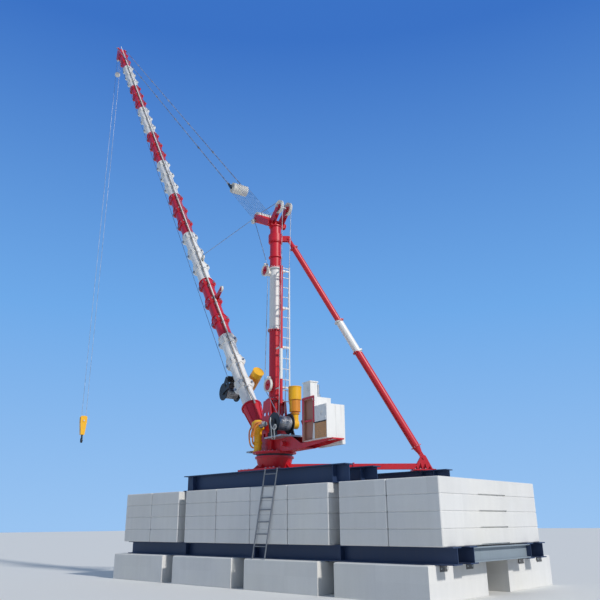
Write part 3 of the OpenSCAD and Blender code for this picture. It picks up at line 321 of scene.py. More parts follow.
# %% Paints
RED = (0.60, 0.010, 0.022)
WHITE = (0.82, 0.81, 0.78)
DUST = (0.50, 0.47, 0.42)
GRIME = (0.10, 0.085, 0.07)
PRIMER = (0.24, 0.23, 0.22)
# Each paint has its colour, its roughness, and the strength of its grime and chips.
PAINTS = {
    "red_paint": (RED, 0.30, 0.30, 0.3),
    "white_paint": (WHITE, 0.34, 0.22, 0.3),
    "yellow_paint": ((0.90, 0.46, 0.004), 0.32, 0.35, 0.3),
    "navy_steel": ((0.020, 0.042, 0.105), 0.42, 0.15, 0.5),
    "black_steel": ((0.018, 0.019, 0.022), 0.45, 0.20, 0.4),
    "sheave_white": ((0.82, 0.79, 0.72), 0.40, 0.25, 0.3),
    # The orange is painted shade: the yellow of the motors as it looks in shade.
    "orange_paint": ((0.72, 0.25, 0.01), 0.35, 0.35, 0.3),
    "pale_paint": (WHITE, 0.40, 0.10, 0.0),
    # This grey is painted sunlight: the navy of the lower frame as it looks where the sun falls on its end.
    "beam_grey": ((0.24, 0.29, 0.33), 0.45, 0.20, 0.3),
    "bay_brown": ((0.42, 0.18, 0.12), 0.50, 0.30, 0.1),
    "ladder_grey": ((0.15, 0.17, 0.20), 0.50, 0.20, 0.3),
    "anchor_steel": ((0.09, 0.09, 0.09), 0.50, 0.30, 0.3),
    "tan_panel": ((0.62, 0.33, 0.15), 0.50, 0.35, 0.3)}


def make_paint(name, colour, rough, grime, chips, band=None):
    """A painted metal. A band is a pair of heights between which the paint is white."""
    finish = Finish(name)
    base = colour
    if band:
        height = finish.axis("Z")
        base = finish.mix(height.above(band[0]) * height.below(band[1]), base, WHITE)
    clouds = finish.noise(1.4, detail=5, rough=0.6)
    runs = finish.noise(1.0, detail=6, place=finish.stretched((16, 16, 1.1)))
    spots = finish.noise(26, detail=5, rough=0.75)
    facing_up = finish.node("SeparateXYZ", inputs={0: finish.normal}, output="Z")
    dust = finish.ramp(facing_up, 0.2, 1.0) * clouds
    dirty = finish.ramp(runs, 0.52, 0.80) * grime
    chip = finish.ramp(spots, 0.73 - 0.04 * chips, 0.76 - 0.04 * chips) * chips
    faded = finish.tint(base, 0.90 + clouds * 0.20)
    dusty = finish.mix(dust * 0.12, faded, DUST)
    grimy = finish.mix(dirty, dusty, GRIME)
    finish.set("Base Color", finish.mix(chip, grimy, PRIMER))
    finish.set("Roughness", (rough + clouds * 0.16 + dirty * 0.4 + dust * 0.3 + chip * 0.3).clipped())
    finish.set("Coat Weight", 0.06)
    finish.set("Coat Roughness", 0.25)
    finish.bump(finish.noise(180, detail=2) * 0.15 - chip * 0.6 + runs * 0.1, 0.0012, 0.5)
    return finish.material


for name, look_of_paint in PAINTS.items():
    materials[name] = make_paint(name, *look_of_paint)
print("paints:", list(PAINTS))

# %% [markdown]
# ## Bare metals
# The ladders and gratings are galvanised: dull zinc with a crystal pattern of slightly different greys. The
# ropes are bright steel wire under a film of dark grease.

# %% Zinc and rope wire
def make_zinc():
    finish = Finish("galvanised")
    crystals = finish.node("TexVoronoi", inputs={"Vector": finish.place, "Scale": 60.0}, output="Color")
    shade = finish.node("SeparateColor", inputs={0: crystals})
    clouds = finish.noise(2.5, detail=5)
    finish.set("Base Color", finish.tint((0.46, 0.48, 0.49), 0.72 + shade * 0.25 + clouds * 0.25))
    finish.set("Metallic", 0.75)
    finish.set("Roughness", 0.42 + shade * 0.18)
    finish.bump(finish.noise(90, detail=3), 0.0008, 0.4)
    return finish.material


def make_wire():
    finish = Finish("wire_rope")
    grease = finish.ramp(finish.noise(6, detail=4), 0.35, 0.7)
    finish.set("Base Color", finish.mix(grease, (0.66, 0.66, 0.66), (0.22, 0.21, 0.20)))
    finish.set("Metallic", 0.8)
    finish.set("Roughness", 0.55 - grease * 0.2)
    finish.bump(finish.noise(400, detail=2), 0.0006, 0.5)
    return finish.material


materials["galvanised"] = make_zinc()
materials["wire_rope"] = make_wire()
print("metals ready")

# %% [markdown]
# ## The frame's own finishes
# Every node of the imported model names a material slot, so one loop dresses them all. The stiff legs have a
# white band between two red stretches: their paint changes colour with height.

# %% Dress the nodes
LEG_BAND = (5.74, 6.59)
leg_paint = make_paint("leg_paint", *PAINTS["red_paint"], band=LEG_BAND)
for row in frame["record"]["subparts"]:
    node = nodes[row["node"]]
    material = leg_paint if row["node"].startswith("stiff_leg") else materials[row["material_slot"]]
    if node.data.materials:
        node.material_slots[0].material = material
    else:
        node.data.materials.append(material)

# %% [markdown]
# ## Nodes of more than one colour
# A winch is one node, but its side plates are black and its gearbox and motor yellow. The faces of a node
# can take different materials without a change to their shape: a test on the middle of each face, said in
# the crane's own directions, picks the faces of the second colour.

# %% Second colours
def in_turning(point):
    """Ahead of the mast axis, to its left, and up."""
    return point.dot(AHEAD), point.dot(LEFT), point.z


def in_boom(point):
    """Along the boom from its foot pin, to the left, and towards its back."""
    from_pin = point - BOOM_PIN
    return from_pin.dot(ALONG), from_pin.dot(LEFT), from_pin.dot(BACK)


def recolour(name, slot, test, directions=in_turning):
    """Gives the faces of a node whose middle passes the test another material."""
    mesh = nodes[name].data
    mesh.materials.append(materials[slot])
    index = len(mesh.materials) - 1
    changed = 0
    for face in mesh.polygons:
        if test(*directions(face.center)):
            face.material_index = index
            changed += 1
    print(name, slot, changed, "of", len(mesh.polygons), "faces")


def near(a, b, centre, radius):
    return hypot(a - centre[0], b - centre[1]) < radius


# Both winches: black up to the gearbox, and an orange waist on the yellow motor, which is painted shade: the
# motor's yellow as it looks in shade.
LUFF_GEARBOX_V = WINCH_V - GEARBOX_FROM
HOIST_GEARBOX_V = HOIST_V - GEARBOX_FROM
recolour("luffing_winch", "black_steel", lambda u, v, z: v > LUFF_GEARBOX_V and z < 4.0)
recolour("luffing_winch", "orange_paint", lambda u, v, z: v < LUFF_GEARBOX_V and 4.02 < z < 4.3795)
recolour("hoist_winch", "black_steel", lambda s, v, b: v > HOIST_GEARBOX_V, in_boom)
recolour("hoist_winch", "orange_paint", lambda s, v, b: v < HOIST_GEARBOX_V and -0.54 < b < -0.3205, in_boom)

# Ladders: dark grey against the base, and a red and white pipe beside the one on the mast.
PIPE_BAND = (4.93, 5.73)
materials["pipe_paint"] = make_paint("pipe_paint", *PAINTS["red_paint"], band=PIPE_BAND)
recolour("access_ladder", "ladder_grey", lambda u, v, z: True)
recolour("mast_ladder", "pipe_paint", lambda u, v, z: v > 0.012 and u < -0.350)

# The grey end of the lower frame, which is painted sunlight on the navy, the slewing ring's seal, and what is
# galvanised on the turning part.
recolour("lower_cross_members", "beam_grey", lambda x, y, z: x > 4.8, tuple)
recolour("pedestal", "black_steel", lambda u, v, z: z > 3.0105)
recolour("slew_drive", "galvanised", lambda u, v, z: u < -0.0405)
recolour("control_box", "galvanised", lambda u, v, z: v < 0.02)

# Sheaves and blocks: white rims, red middles, black cheeks and bare pins.
PIN_R = 0.027
recolour("guide_sheaves", "sheave_white", lambda u, v, z: abs(v - GUIDE_V) < 0.0305
         and any(near(u, z, at, r + 0.001) for at, r in GUIDES))
recolour("rope_brackets", "sheave_white", lambda s, v, b: s > 7.5
         or (abs(v) < 0.0255 and near(s, b, BRACKETS[0][0], 0.101)), in_boom)
recolour("rear_sheaves", "red_paint", lambda u, v, z: near(u, z, REAR_AT, 0.100))
recolour("guide_sheaves", "red_paint", lambda u, v, z: any(near(u, z, at, r * 0.70) for at, r in GUIDES))
recolour("head_sheaves", "galvanised", lambda u, v, z: near(u, z, PACK_AT, PIN_R))
recolour("rear_sheaves", "galvanised", lambda u, v, z: near(u, z, REAR_AT, PIN_R))
recolour("tip_sheaves", "galvanised", lambda s, v, b: near(s, b, TIP_AT, 0.031), in_boom)
recolour("floating_block", "black_steel", lambda u, v, z: abs(v) > 0.2805)
recolour("hook_block", "sheave_white",
         lambda u, v, z: abs(u - ROPE_U) < 0.026 and near(v, z, (0, HOOK_AXLE_Z), 0.104))
recolour("hook_block", "galvanised", lambda u, v, z: abs(u - ROPE_U) > 0.1205)

# Power pack: brown inlet and service bay, tan louvres, and red rails and cap.
INLET_AT = (-2.450, 3.758)
recolour("power_pack", "bay_brown", lambda u, v, z: v > 0.2515 and near(u, z, INLET_AT, 0.045))
recolour("power_pack", "tan_panel",
         lambda u, v, z: 0.232 < abs(v) < 0.2485 and 3.214 < z < 3.591 and -2.626 < u < -2.134)
recolour("power_pack", "bay_brown", lambda u, v, z: v > 0.185 and 3.205 < z < 4.189 and -2.119 < u < -1.7005)
recolour("power_pack", "red_paint", lambda u, v, z: z > 4.1905 or (v > 0.203 and u > -1.6995))

# %% [markdown]
# ## Geometry Nodes
# What repeats, such as bolts, or follows a path, such as a rope, is made by Geometry Nodes. `Recipe` builds
# such a tree: its sizes are named inputs, `node` adds a node, and `end` turns instances into real faces
# and gives them their material. `grow` runs a recipe once and keeps the result as a plain mesh that rides
# on one body of the crane.

# %% Recipes
class Recipe:
    """A Geometry Nodes tree with named sizes."""

    def __init__(self, name, **sizes):
        self.tree = bpy.data.node_groups.new(name, "GeometryNodeTree")
        add_socket = self.tree.interface.new_socket
        add_socket("Geometry", in_out="INPUT", socket_type="NodeSocketGeometry")
        for size, value in sizes.items():
            add_socket(size, in_out="INPUT", socket_type="NodeSocketFloat").default_value = value
        add_socket("Geometry", in_out="OUTPUT", socket_type="NodeSocketGeometry")
        self.given = self.tree.nodes.new("NodeGroupInput")
        self.result = self.tree.nodes.new("NodeGroupOutput")
        self.start = self.size("Geometry")

    def size(self, name):
        return Socket(self.tree, self.given.outputs[name])

    def node(self, kind, settings=None, inputs=None, output=0):
        """Adds a geometry node, as add_node does."""
        return add_node(self.tree, "GeometryNode" + kind, settings, inputs, output)

    def resampled(self):
        """The start mesh as curves, cut into even steps."""
        line = self.node("MeshToCurve", inputs={0: self.start})
        values = {"Curve": line, "Length": self.size("Step")}
        return self.node("ResampleCurve", {"mode": "LENGTH"}, values)

    def skinned(self, line, profile):
        """Curves with the profile drawn along them."""
        values = {"Curve": line, "Profile Curve": profile, "Fill Caps": True}
        return self.node("CurveToMesh", inputs=values)

    def end(self, geometry, smooth=False):
        real = self.node("RealizeInstances", inputs={0: geometry})
        if smooth:
            real = self.node("SetShadeSmooth", inputs={0: real})
        self.paint = self.node("SetMaterial", inputs={0: real})
        plug(self.tree, self.result.inputs[0], self.paint)
        return self


def place(name, mesh, body, material):
    """A finished piece: its object at the origin, riding on a body."""
    piece = add_object(name, mesh)
    if body:
        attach(piece, body)
    return piece


def grow(name, start, recipe, material, body, **sizes):
    """Runs a recipe on a start mesh and keeps the result as a plain mesh."""
    recipe.paint.out.node.inputs["Material"].default_value = materials[material]
    maker = add_object(name + "_maker", start)
    modifier = maker.modifiers.new("recipe", "NODES")
    modifier.node_group = recipe.tree
    for item in recipe.tree.interface.items_tree:
        if item.name in sizes:
            modifier[item.identifier] = sizes[item.name]
    bpy.context.view_layer.update()
    depsgraph = bpy.context.evaluated_depsgraph_get()
    mesh = bpy.data.meshes.new_from_object(maker.evaluated_get(depsgraph), depsgraph=depsgraph)
    bpy.data.objects.remove(maker)
    print(name, len(mesh.polygons), "faces")
    return place(name, mesh, body, material)


def polylines(paths):
    """A mesh of bare edges along each path."""
    mesh = bpy.data.meshes.new("paths")
    points = [p for path in paths for p in path]
    edges = []
    first = 0
    for path in paths:
        edges += [(first + i, first + i + 1) for i in range(len(path) - 1)]
        first += len(path)
    mesh.from_pydata(points, edges, [])
    return mesh


print("recipes ready")

# %% [markdown]
# ## Reeving
# A rope's path past a row of sheaves is a chain of tangents and arcs. `reeve` works it out in the plane of
# the sheaves from their centres and radii: a radius is positive where the sheave lies to the left of the
# rope and negative to its right. The rope itself is six strands laid round a core, so its section is a
# six-pointed star that turns once in a lay of about six and a half diameters.

# %% Paths of the ropes
ROPE_D = 0.018
LAY = 6.5 * ROPE_D
CORE_SHARE = 0.80
SEAT = 0.0003
GROOVE_SHARE = 0.12
ARC_STEPS = 16


def in_groove(radius, width):
    """Distance from a sheave's axis to the middle of a rope that lies in its groove."""
    depth = GROOVE_SHARE * radius
    return radius - depth + (ROPE_D / 2 + SEAT) / sin(atan2(width / 2, depth))


def reeve(directions, stops):
    """Path of a rope past stops (ahead or along, up or back, v, radius), as points in space."""
    courses = []
    for (x1, z1, v1, r1), (x2, z2, v2, r2) in zip(stops, stops[1:]):
        reach = hypot(x2 - x1, z2 - z1)
        courses.append(atan2(z2 - z1, x2 - x1) - asin((r2 - r1) / reach))
    path = []
    for i, (x, z, v, r) in enumerate(stops):
        before = courses[max(i - 1, 0)]
        after = courses[min(i, len(courses) - 1)]
        bend = remainder(after - before, tau)
        steps = ARC_STEPS if abs(bend) > 1e-6 and r else 0
        for k in range(steps + 1):
            course = before + bend * k / max(steps, 1)
            path.append(directions(x + r * sin(course), v, z - r * cos(course)))
    return path


def arc(centre, first, second, radius, sweep):
    """Points on an arc that starts in the first direction and turns towards the second."""
    turns = [sweep * k / ARC_STEPS for k in range(ARC_STEPS + 1)]
    return [centre + (first * cos(a) + second * sin(a)) * radius for a in turns]


def make_rope_recipe():
    recipe = Recipe("rope", Radius=ROPE_D / 2, Lay=LAY, Step=0.8 * ROPE_D)
    radius = recipe.size("Radius")
    along = recipe.node("SplineParameter", output="Length")
    values = {"Curve": recipe.resampled(), "Tilt": along / recipe.size("Lay") * tau}
    line = recipe.node("SetCurveTilt", inputs=values)
    values = {"Points": 6, "Inner Radius": radius * CORE_SHARE, "Outer Radius": radius}
    star = recipe.node("CurveStar", inputs=values)
    return recipe.end(recipe.skinned(line, star))


rope_recipe = make_rope_recipe()


def rope(name, paths, body, **sizes):
    return grow(name, polylines(paths), rope_recipe, "wire_rope", body, **sizes)


print("rope recipe ready")

# %% [markdown]
# ## Luffing gear
# Two ropes leave the luffing drum, climb behind the mast, turn over the rear sheaves and run into the pack
# of six sheaves on the mast head. From there twelve parts lead to the floating block and back. The straight
# parts cross the joint between the two blocks; they are made where the blocks stand now and are tied to
# neither of them.

# %% Falls between the mast head and the floating block
PACK_R, BLOCK_R, PACK_W = 0.150, 0.170, 0.078
PACK_V = [(i - 2.5) * 0.084 for i in range(6)]
FALLS_LENGTH = 2.330
FALLS_ROPE_R = 0.007
LINE = Vector(joints["block_travel"]["axis"])
ACROSS = LINE.cross(LEFT).normalized()
if ACROSS.z < 0:
    ACROSS = -ACROSS
head_pin = turning(PACK_AT[0], 0, PACK_AT[1])
block_pin = head_pin + LINE * FALLS_LENGTH
pack_groove = in_groove(PACK_R, PACK_W)
block_groove = in_groove(BLOCK_R, PACK_W)
falls_paths = [[head_pin + LEFT * v + ACROSS * side * pack_groove,
                block_pin + LEFT * v + ACROSS * side * block_groove] for v in PACK_V for side in (-1, 1)]
falls = rope("falls_ropes", falls_paths, None, Radius=FALLS_ROPE_R)
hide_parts("luffing_falls")
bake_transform(falls)
pack_turns = [arc(head_pin + LEFT * v, ACROSS, -LINE, pack_groove, pi) for v in PACK_V]
block_turns = [arc(block_pin + LEFT * v, ACROSS, LINE, block_groove, pi) for v in PACK_V]
rope("pack_turns", pack_turns, "falls")
rope("block_turns", block_turns, "luffing_block")

# %% Ropes from the luffing drum to the mast head
DRUM_R = 0.165
REAR_R, REAR_W = 0.190, 0.070
on_drum = DRUM_R + ROPE_D / 2
rear_groove = in_groove(REAR_R, REAR_W)
luffing_paths = []
for drum_v, sheave_v, pack_v in ((0.140, 0.140, PACK_V[4]), (-0.030, -0.140, PACK_V[1])):
    stops = [(*DRUM_AT, drum_v, on_drum), (*REAR_AT, sheave_v, -rear_groove),
             (*PACK_AT, pack_v, -pack_groove)]
    luffing_paths.append(reeve(turning, stops))
rope("luffing_ropes", luffing_paths, "superstructure")

# %% [markdown]
# ## Guide rope
# A third rope runs from the drum past the two guide sheaves on the mast's left side, over a small sheave on
# the mast head and across to the bracket on the boom's back, and on along the boom to its head. The stretch
# between mast and boom crosses the luffing joint. A point of it moves on a circle round the boom's pin, so
# one blend would bow the rope. It is made in several lengths, and the share of the turn that would keep each
# nearly straight is worked out, but each length is made where it stands now and is tied to neither body.

# %% Guide rope
HEAD_SHEAVE_AT = (0.700, 9.755)
HEAD_SHEAVE_R, HEAD_SHEAVE_V = 0.075, 0.345
GUIDE_W, HEAD_SHEAVE_W, BRACKET_W = 0.060, 0.040, 0.050
GUIDE_DRUM_V = 0.300
lower_guide, upper_guide = GUIDES
bracket_groove = in_groove(BRACKETS[1][1], BRACKET_W)
bracket_point = on_boom(BRACKETS[1][0][0], 0, BRACKETS[1][0][1])
bracket_uz = (bracket_point.dot(AHEAD), bracket_point.z)
stops = [
    (*DRUM_AT, GUIDE_DRUM_V, -on_drum),
    (*lower_guide[0], GUIDE_V, in_groove(lower_guide[1], GUIDE_W)),
    (*upper_guide[0], GUIDE_V, -in_groove(upper_guide[1], GUIDE_W)),
    (*HEAD_SHEAVE_AT, HEAD_SHEAVE_V, -in_groove(HEAD_SHEAVE_R, HEAD_SHEAVE_W)),
    (*bracket_uz, 0.0, -bracket_groove)]
guide_path = reeve(turning, stops)
rope("guide_rope", [guide_path[:-1]], "superstructure")

# %% Its stretch between the mast and the boom
CROSSING_STOPS = (0, 0.03, 0.10, 0.25, 0.50, 0.75, 0.92, 1.0)
LEAD = 0.20


def turned(share):
    """The share of the boom's turn that a point of the crossing rope needs to stay nearly in line."""
    return share + LEAD * share * (1 - share)


def eased(value):
    """Where a smooth blend from 0 to 1 reaches this value."""
    return 0.5 - sin(asin(1 - 2 * value) / 3)


head = guide_path[-2]
run = guide_path[-1] - head
for k, (near_end, far_end) in enumerate(zip(CROSSING_STOPS, CROSSING_STOPS[1:]), 1):
    t0, t1 = eased(turned(near_end)), eased(turned(far_end))
    step = (far_end - near_end) / (t1 - t0)
    start = head + run * (near_end - t0 * step)
    piece = rope(f"crossing_rope_{k}", [[head + run * near_end, head + run * far_end]], None)
    start + run * step
    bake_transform(piece)

# %% Its stretch along the boom's back
BACK_ROPE_B, END_B = 0.264, 0.200
BACK_ROPE_LANDS = BRACKETS[1][0][0] + 1.2
BACK_ROPE_END, TAIL = 28.40, 0.60
back_stops = [(*BRACKETS[1][0], 0.0, -bracket_groove), (BACK_ROPE_LANDS, BACK_ROPE_B, 0.0, 0.0),
              (BACK_ROPE_END, BACK_ROPE_B, 0.0, 0.0), (BACK_ROPE_END + TAIL, END_B, 0.0, 0.0)]
rope("boom_back_rope", [reeve(on_boom, back_stops)], "boom")

# %% [markdown]
# ## Hoist rope
# The hoist rope leaves its drum under the boom, runs along the belly, is lifted by a roller in the boom head
# and passes over the first tip sheave, down and round the sheave in the hook block, and up over the second
# tip sheave to its anchor. The hanging parts cross the hoist joint; they are made where the hook hangs now
# and are tied to neither body.

# %% Hoist rope along the boom, over the tip and down to the hook block
TIP_V = 0.100
TIP_R, TIP_W = 0.220, 0.060
TIP_WRAP = radians(165)
ROLLER_AT = (29.140, -0.240)
ROLLER_R = 0.050
ANCHOR_AT = (29.02, -0.27)
tip_groove = in_groove(TIP_R, TIP_W)
belly = reeve(on_boom, [(*HOIST_AT, TIP_V, -on_drum), (*ROLLER_AT, TIP_V, ROLLER_R + ROPE_D / 2),
                        (*TIP_AT, TIP_V, -tip_groove)])
anchored = reeve(on_boom, [(*ANCHOR_AT, -TIP_V, 0.0), (*TIP_AT, -TIP_V, -tip_groove)])
rope("belly_ropes", [belly, anchored], "boom")

tip_pin = on_boom(TIP_AT[0], 0, TIP_AT[1])
wraps = [arc(tip_pin + LEFT * side * TIP_V, AHEAD, UP, tip_groove, TIP_WRAP) for side in (-1, 1)]
rope("tip_turns", wraps, "hoist_line")
hoist_top = tip_pin + AHEAD * tip_groove
hoist_low = turning(ROPE_U, 0, HOOK_AXLE_Z)
hanging_paths = [[end + LEFT * side * TIP_V for end in (hoist_top, hoist_low)] for side in (-1, 1)]
hanging = rope("hoist_ropes", hanging_paths, None)
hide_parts("hoist_rope")
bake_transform(hanging)
rope("hook_sheave_turn", [arc(hoist_low, LEFT, -UP, TIP_V, pi)], "lower_block")

# %% Rope wound on the drums
DRUM_TURNS = 22
TURN_POINTS = 30
DRUM_HALF = 0.199
WOUND_STEP = 0.020


def winding(middle, first, second):
    """A helix of rope on a drum whose axis points to the left."""
    count = DRUM_TURNS * TURN_POINTS
    turns = ((k / count * 2 - 1, tau * k / TURN_POINTS) for k in range(count + 1))
    return [middle + LEFT * DRUM_HALF * share + (first * cos(a) + second * sin(a)) * on_drum
            for share, a in turns]


luff_wound = winding(turning(DRUM_AT[0], WINCH_V, DRUM_AT[1]), AHEAD, UP)
hoist_wound = winding(on_boom(HOIST_AT[0], HOIST_V, HOIST_AT[1]), ALONG, BACK)
rope("luffing_winding", [luff_wound], "luff_drum", Step=WOUND_STEP)
rope("hoist_winding", [hoist_wound], "lift_drum", Step=WOUND_STEP)

# %% [markdown]
# ## Bolts
# Every flange of the mast, the boom and the legs is bolted. A bolt is a hexagon head on a washer. The places
# and directions are worked out in Python as points that carry an axis, and one recipe stands a bolt on each.

# %% Bolt recipe
def make_bolt_recipe():
    recipe = Recipe("bolts", Size=0.018)
    size = recipe.size("Size")
    head = recipe.node("MeshCylinder", inputs={"Vertices": 6, "Radius": size, "Depth": size * 0.8})
    raised = add_node(recipe.tree, "ShaderNodeCombineXYZ", inputs={2: size * 0.6})
    head = recipe.node("Transform", inputs={"Geometry": head, "Translation": raised})
    washer = recipe.node("MeshCylinder", inputs={"Vertices": 12, "Radius": size * 1.4, "Depth": size * 0.4})
    bolt = recipe.node("JoinGeometry", inputs={0: [head, washer]})
    axis = recipe.node("InputNamedAttribute", {"data_type": "FLOAT_VECTOR"}, {"Name": "axis"})
    upright = add_node(recipe.tree, "FunctionNodeAlignRotationToVector", {"axis": "Z"}, {"Vector": axis})
    values = {"Points": recipe.start, "Instance": bolt, "Rotation": upright}
    return recipe.end(recipe.node("InstanceOnPoints", inputs=values))


bolt_recipe = make_bolt_recipe()


def bolts(name, places, body, size, material="galvanised"):
    """Bolts of one size at places, which are pairs of a point and an axis."""
    mesh = bpy.data.meshes.new(name)
    mesh.from_pydata([p for p, _ in places], [], [])
    axis = mesh.attributes.new("axis", "FLOAT_VECTOR", "POINT")
    axis.data.foreach_set("vector", [c for _, a in places for c in a])
    return grow(name, mesh, bolt_recipe, material, body, Size=size)


def circle_of(centre, axis, radius, count):
    """Places of bolts on a circle, all pointing along the axis."""
    first = axis.orthogonal().normalized()
    second = axis.cross(first)
    angles = [tau * (k + 0.5) / count for k in range(count)]
    return [(centre + (first * cos(a) + second * sin(a)) * radius, axis) for a in angles]


# %% Bolts on the mast and the boom
MAST_JOINTS = (4.450, 6.330, 8.100)
MAST_BOLT_R, MAST_FLANGE, MAST_FOOT_FLANGE = 0.178, 0.025, 0.030
mast_places = []
for z in MAST_JOINTS:
    below = MAST_FOOT_FLANGE if z == MAST_JOINTS[0] else MAST_FLANGE
    mast_places += circle_of(UP * (z + MAST_FLANGE), UP, MAST_BOLT_R, 16)
    mast_places += circle_of(UP * (z - below), -UP, MAST_BOLT_R, 16)
bolts("mast_bolts", mast_places, "superstructure", size=0.015)
TURNTABLE_Z, TURNTABLE_BOLT_R = 3.120, 0.510
bolts("turntable_bolts", circle_of(UP * TURNTABLE_Z, UP, TURNTABLE_BOLT_R, 32), "superstructure", size=0.014)

BOOM_FOOT, SECTION, SECTIONS = 1.330, 2.840, 9
BOOM_BOLT_R, BOOM_FLANGE = 0.229, 0.022
boom_places = []
for k in range(SECTIONS + 1):
    boom_places += circle_of(on_boom(BOOM_FOOT + k * SECTION + BOOM_FLANGE, 0, 0), ALONG, BOOM_BOLT_R, 16)
bolts("boom_bolts", boom_places, "boom", size=0.014)

# %% Bolts on the legs and the base
LEG_BEARINGS = (45, 135)
FOOT_R, FOOT_PIN_Z, TOP_R, TOP_Z = 3.7759, 2.972, 0.360, 9.010
FOOT_PLATE_Z, PEDESTAL_PLATE_Z = 2.682, 2.692
# Each ring of bolts: the share of the leg's length, the flange's radius, and the way that the heads face.
LEG_RINGS = ((0.045, 0.140, 1), (0.46, 0.140, -1), (0.46, 0.140, 1),
             (0.60, 0.140, -1), (0.60, 0.120, 1), (0.955, 0.120, -1))
RING_LIFT = RING_INSET = 0.020
base_places = []
leg_places = []
for bearing in LEG_BEARINGS:
    out = Vector((cos(radians(bearing)), sin(radians(bearing)), 0))
    across_leg = out.cross(UP)
    for x in (-0.26, -0.13, 0.0, 0.20):
        for y in (-0.205, 0.205):
            base_places.append((out * (FOOT_R + x) + across_leg * y + UP * FOOT_PLATE_Z, UP))
    foot = out * FOOT_R + UP * FOOT_PIN_Z
    leg = out * TOP_R + UP * TOP_Z - foot
    for share, radius, way in LEG_RINGS:
        at = foot + leg * share + leg.normalized() * (RING_LIFT * way)
        leg_places += circle_of(at, leg.normalized() * way, radius - RING_INSET, 10)
for x in (-0.57, -0.44, -0.30, 0.30, 0.44, 0.57):
    for y in (-0.60, -0.40, 0.40, 0.60):
        base_places.append((Vector((x, y, PEDESTAL_PLATE_Z)), UP))
bolts("base_bolts", base_places, "base", size=0.018)
bolts("leg_bolts", leg_places, "base", size=0.011)

# %% [markdown]
# ## Pipes, cables and hoses
# A pipe along the boom's back carries the wires to the lamps and limit switches, with a brown cable beside
# it, whose dark brown also stands for the pipe's painted shadow on the boom. Hoses feed the motors. A hose
# hangs in a smooth bow, so its path is a curve through a few points, and one recipe gives every path a round skin.

# %% Recipe for pipes and hoses
def make_rubber(name, colour, roughness):
    finish = Finish(name)
    dust = finish.ramp(finish.noise(9, detail=4), 0.4, 0.75)
    finish.set("Base Color", finish.mix(dust * 0.3, colour, (0.40, 0.37, 0.32)))
    finish.set("Roughness", roughness + dust * 0.2)
    finish.bump(finish.noise(220, detail=2), 0.0006, 0.4)
    return finish.material


# The cable's dark brown is partly a real cable and partly the pipe's painted shadow on the boom.
for name, colour, roughness in (
        ("hose_orange", (0.75, 0.23, 0.02), 0.5), ("hose_pale", (0.66, 0.66, 0.62), 0.45),
        ("hose_black", (0.02, 0.02, 0.022), 0.55), ("cable_brown", (0.20, 0.13, 0.08), 0.6)):
    materials[name] = make_rubber(name, colour, roughness)


def make_tube_recipe():
    recipe = Recipe("tube", Radius=0.02, Step=0.03)
    values = {"Resolution": 12, "Radius": recipe.size("Radius")}
    ring = recipe.node("CurvePrimitiveCircle", inputs=values)
    return recipe.end(recipe.skinned(recipe.resampled(), ring), smooth=True)


tube_recipe = make_tube_recipe()
BEND_STEPS = 8


def smooth(points):
    """A smooth curve through the points."""
    ends = [points[0] * 2 - points[1], *points, points[-1] * 2 - points[-2]]
    path = []
    for a, b, c, d in zip(ends, ends[1:], ends[2:], ends[3:]):
        for k in range(BEND_STEPS):
            t = k / BEND_STEPS
            second = 2 * a - 5 * b + 4 * c - d
            third = 3 * b - 3 * c + d - a
            path.append((2 * b + (c - a) * t + second * t * t + third * t ** 3) / 2)
    return [*path, points[-1]]


def hoses(name, paths, radius, material, body, **sizes):
    return grow(name, polylines(paths), tube_recipe, material, body, Radius=radius, **sizes)


# %% Pipe and cable along the boom's back
PIPE_V, PIPE_B, PIPE_R, PIPE_END = 0.075, 0.262, 0.020, 29.86
CABLE_V, CABLE_B, CABLE_R, CABLE_END = 0.104, 0.243, 0.009, 28.80
RIM_S, RIM_RISE = 1.310, 0.045
PIPE_BEFORE, BEND_S = 0.14, 0.45
PIPE_STEP = 0.15


def along_back(v, b, end):
    """A line along the boom's back that comes down from the rim of the boom foot and then runs straight."""
    over_rim = [on_boom(RIM_S - PIPE_BEFORE, v, b + RIM_RISE), on_boom(RIM_S, v, b + RIM_RISE),
                on_boom(RIM_S + BEND_S, v, b), on_boom(RIM_S + 2 * BEND_S, v, b)]
    return [*smooth(over_rim), on_boom(end, v, b)]


hoses("boom_pipe", [along_back(PIPE_V, PIPE_B, PIPE_END)], PIPE_R, "pale_paint", "boom", Step=PIPE_STEP)
# The brown cable lies where the pipe's shadow falls, and also stands for that shadow as painted shade.
hoses("boom_cable", [along_back(CABLE_V, CABLE_B, CABLE_END)], CABLE_R, "cable_brown", "boom", Step=PIPE_STEP)

# %% Hoses of the slewing drive, the winches and the power pack
slew_hoses = [
    [(-0.10, 0.46, 3.84), (-0.02, 0.58, 3.80), (0.08, 0.61, 3.62), (0.16, 0.59, 3.48),
     (0.20, 0.56, 3.56), (0.21, 0.47, 3.66)],
    [(-0.15, 0.47, 3.82), (-0.08, 0.60, 3.72), (0.02, 0.62, 3.50), (0.10, 0.58, 3.36), (0.12, 0.53, 3.30)],
    [(0.24, 0.54, 3.76), (0.28, 0.58, 3.62), (0.27, 0.58, 3.42), (0.23, 0.56, 3.28), (0.18, 0.51, 3.22)]]
loop_hoses = [
    [(-0.50, 0.42, 3.86), (-0.56, 0.47, 3.78), (-0.66, 0.49, 3.66), (-0.78, 0.49, 3.57),
     (-0.86, 0.48, 3.61), (-0.83, 0.475, 3.69), (-0.76, 0.475, 3.66), (-0.77, 0.475, 3.52),
     (-0.79, 0.47, 3.38), (-0.72, 0.44, 3.36)],
    [(-0.50, 0.42, 3.90), (-0.60, 0.48, 3.76), (-0.66, 0.49, 3.58), (-0.66, 0.48, 3.44), (-0.62, 0.44, 3.37)]]
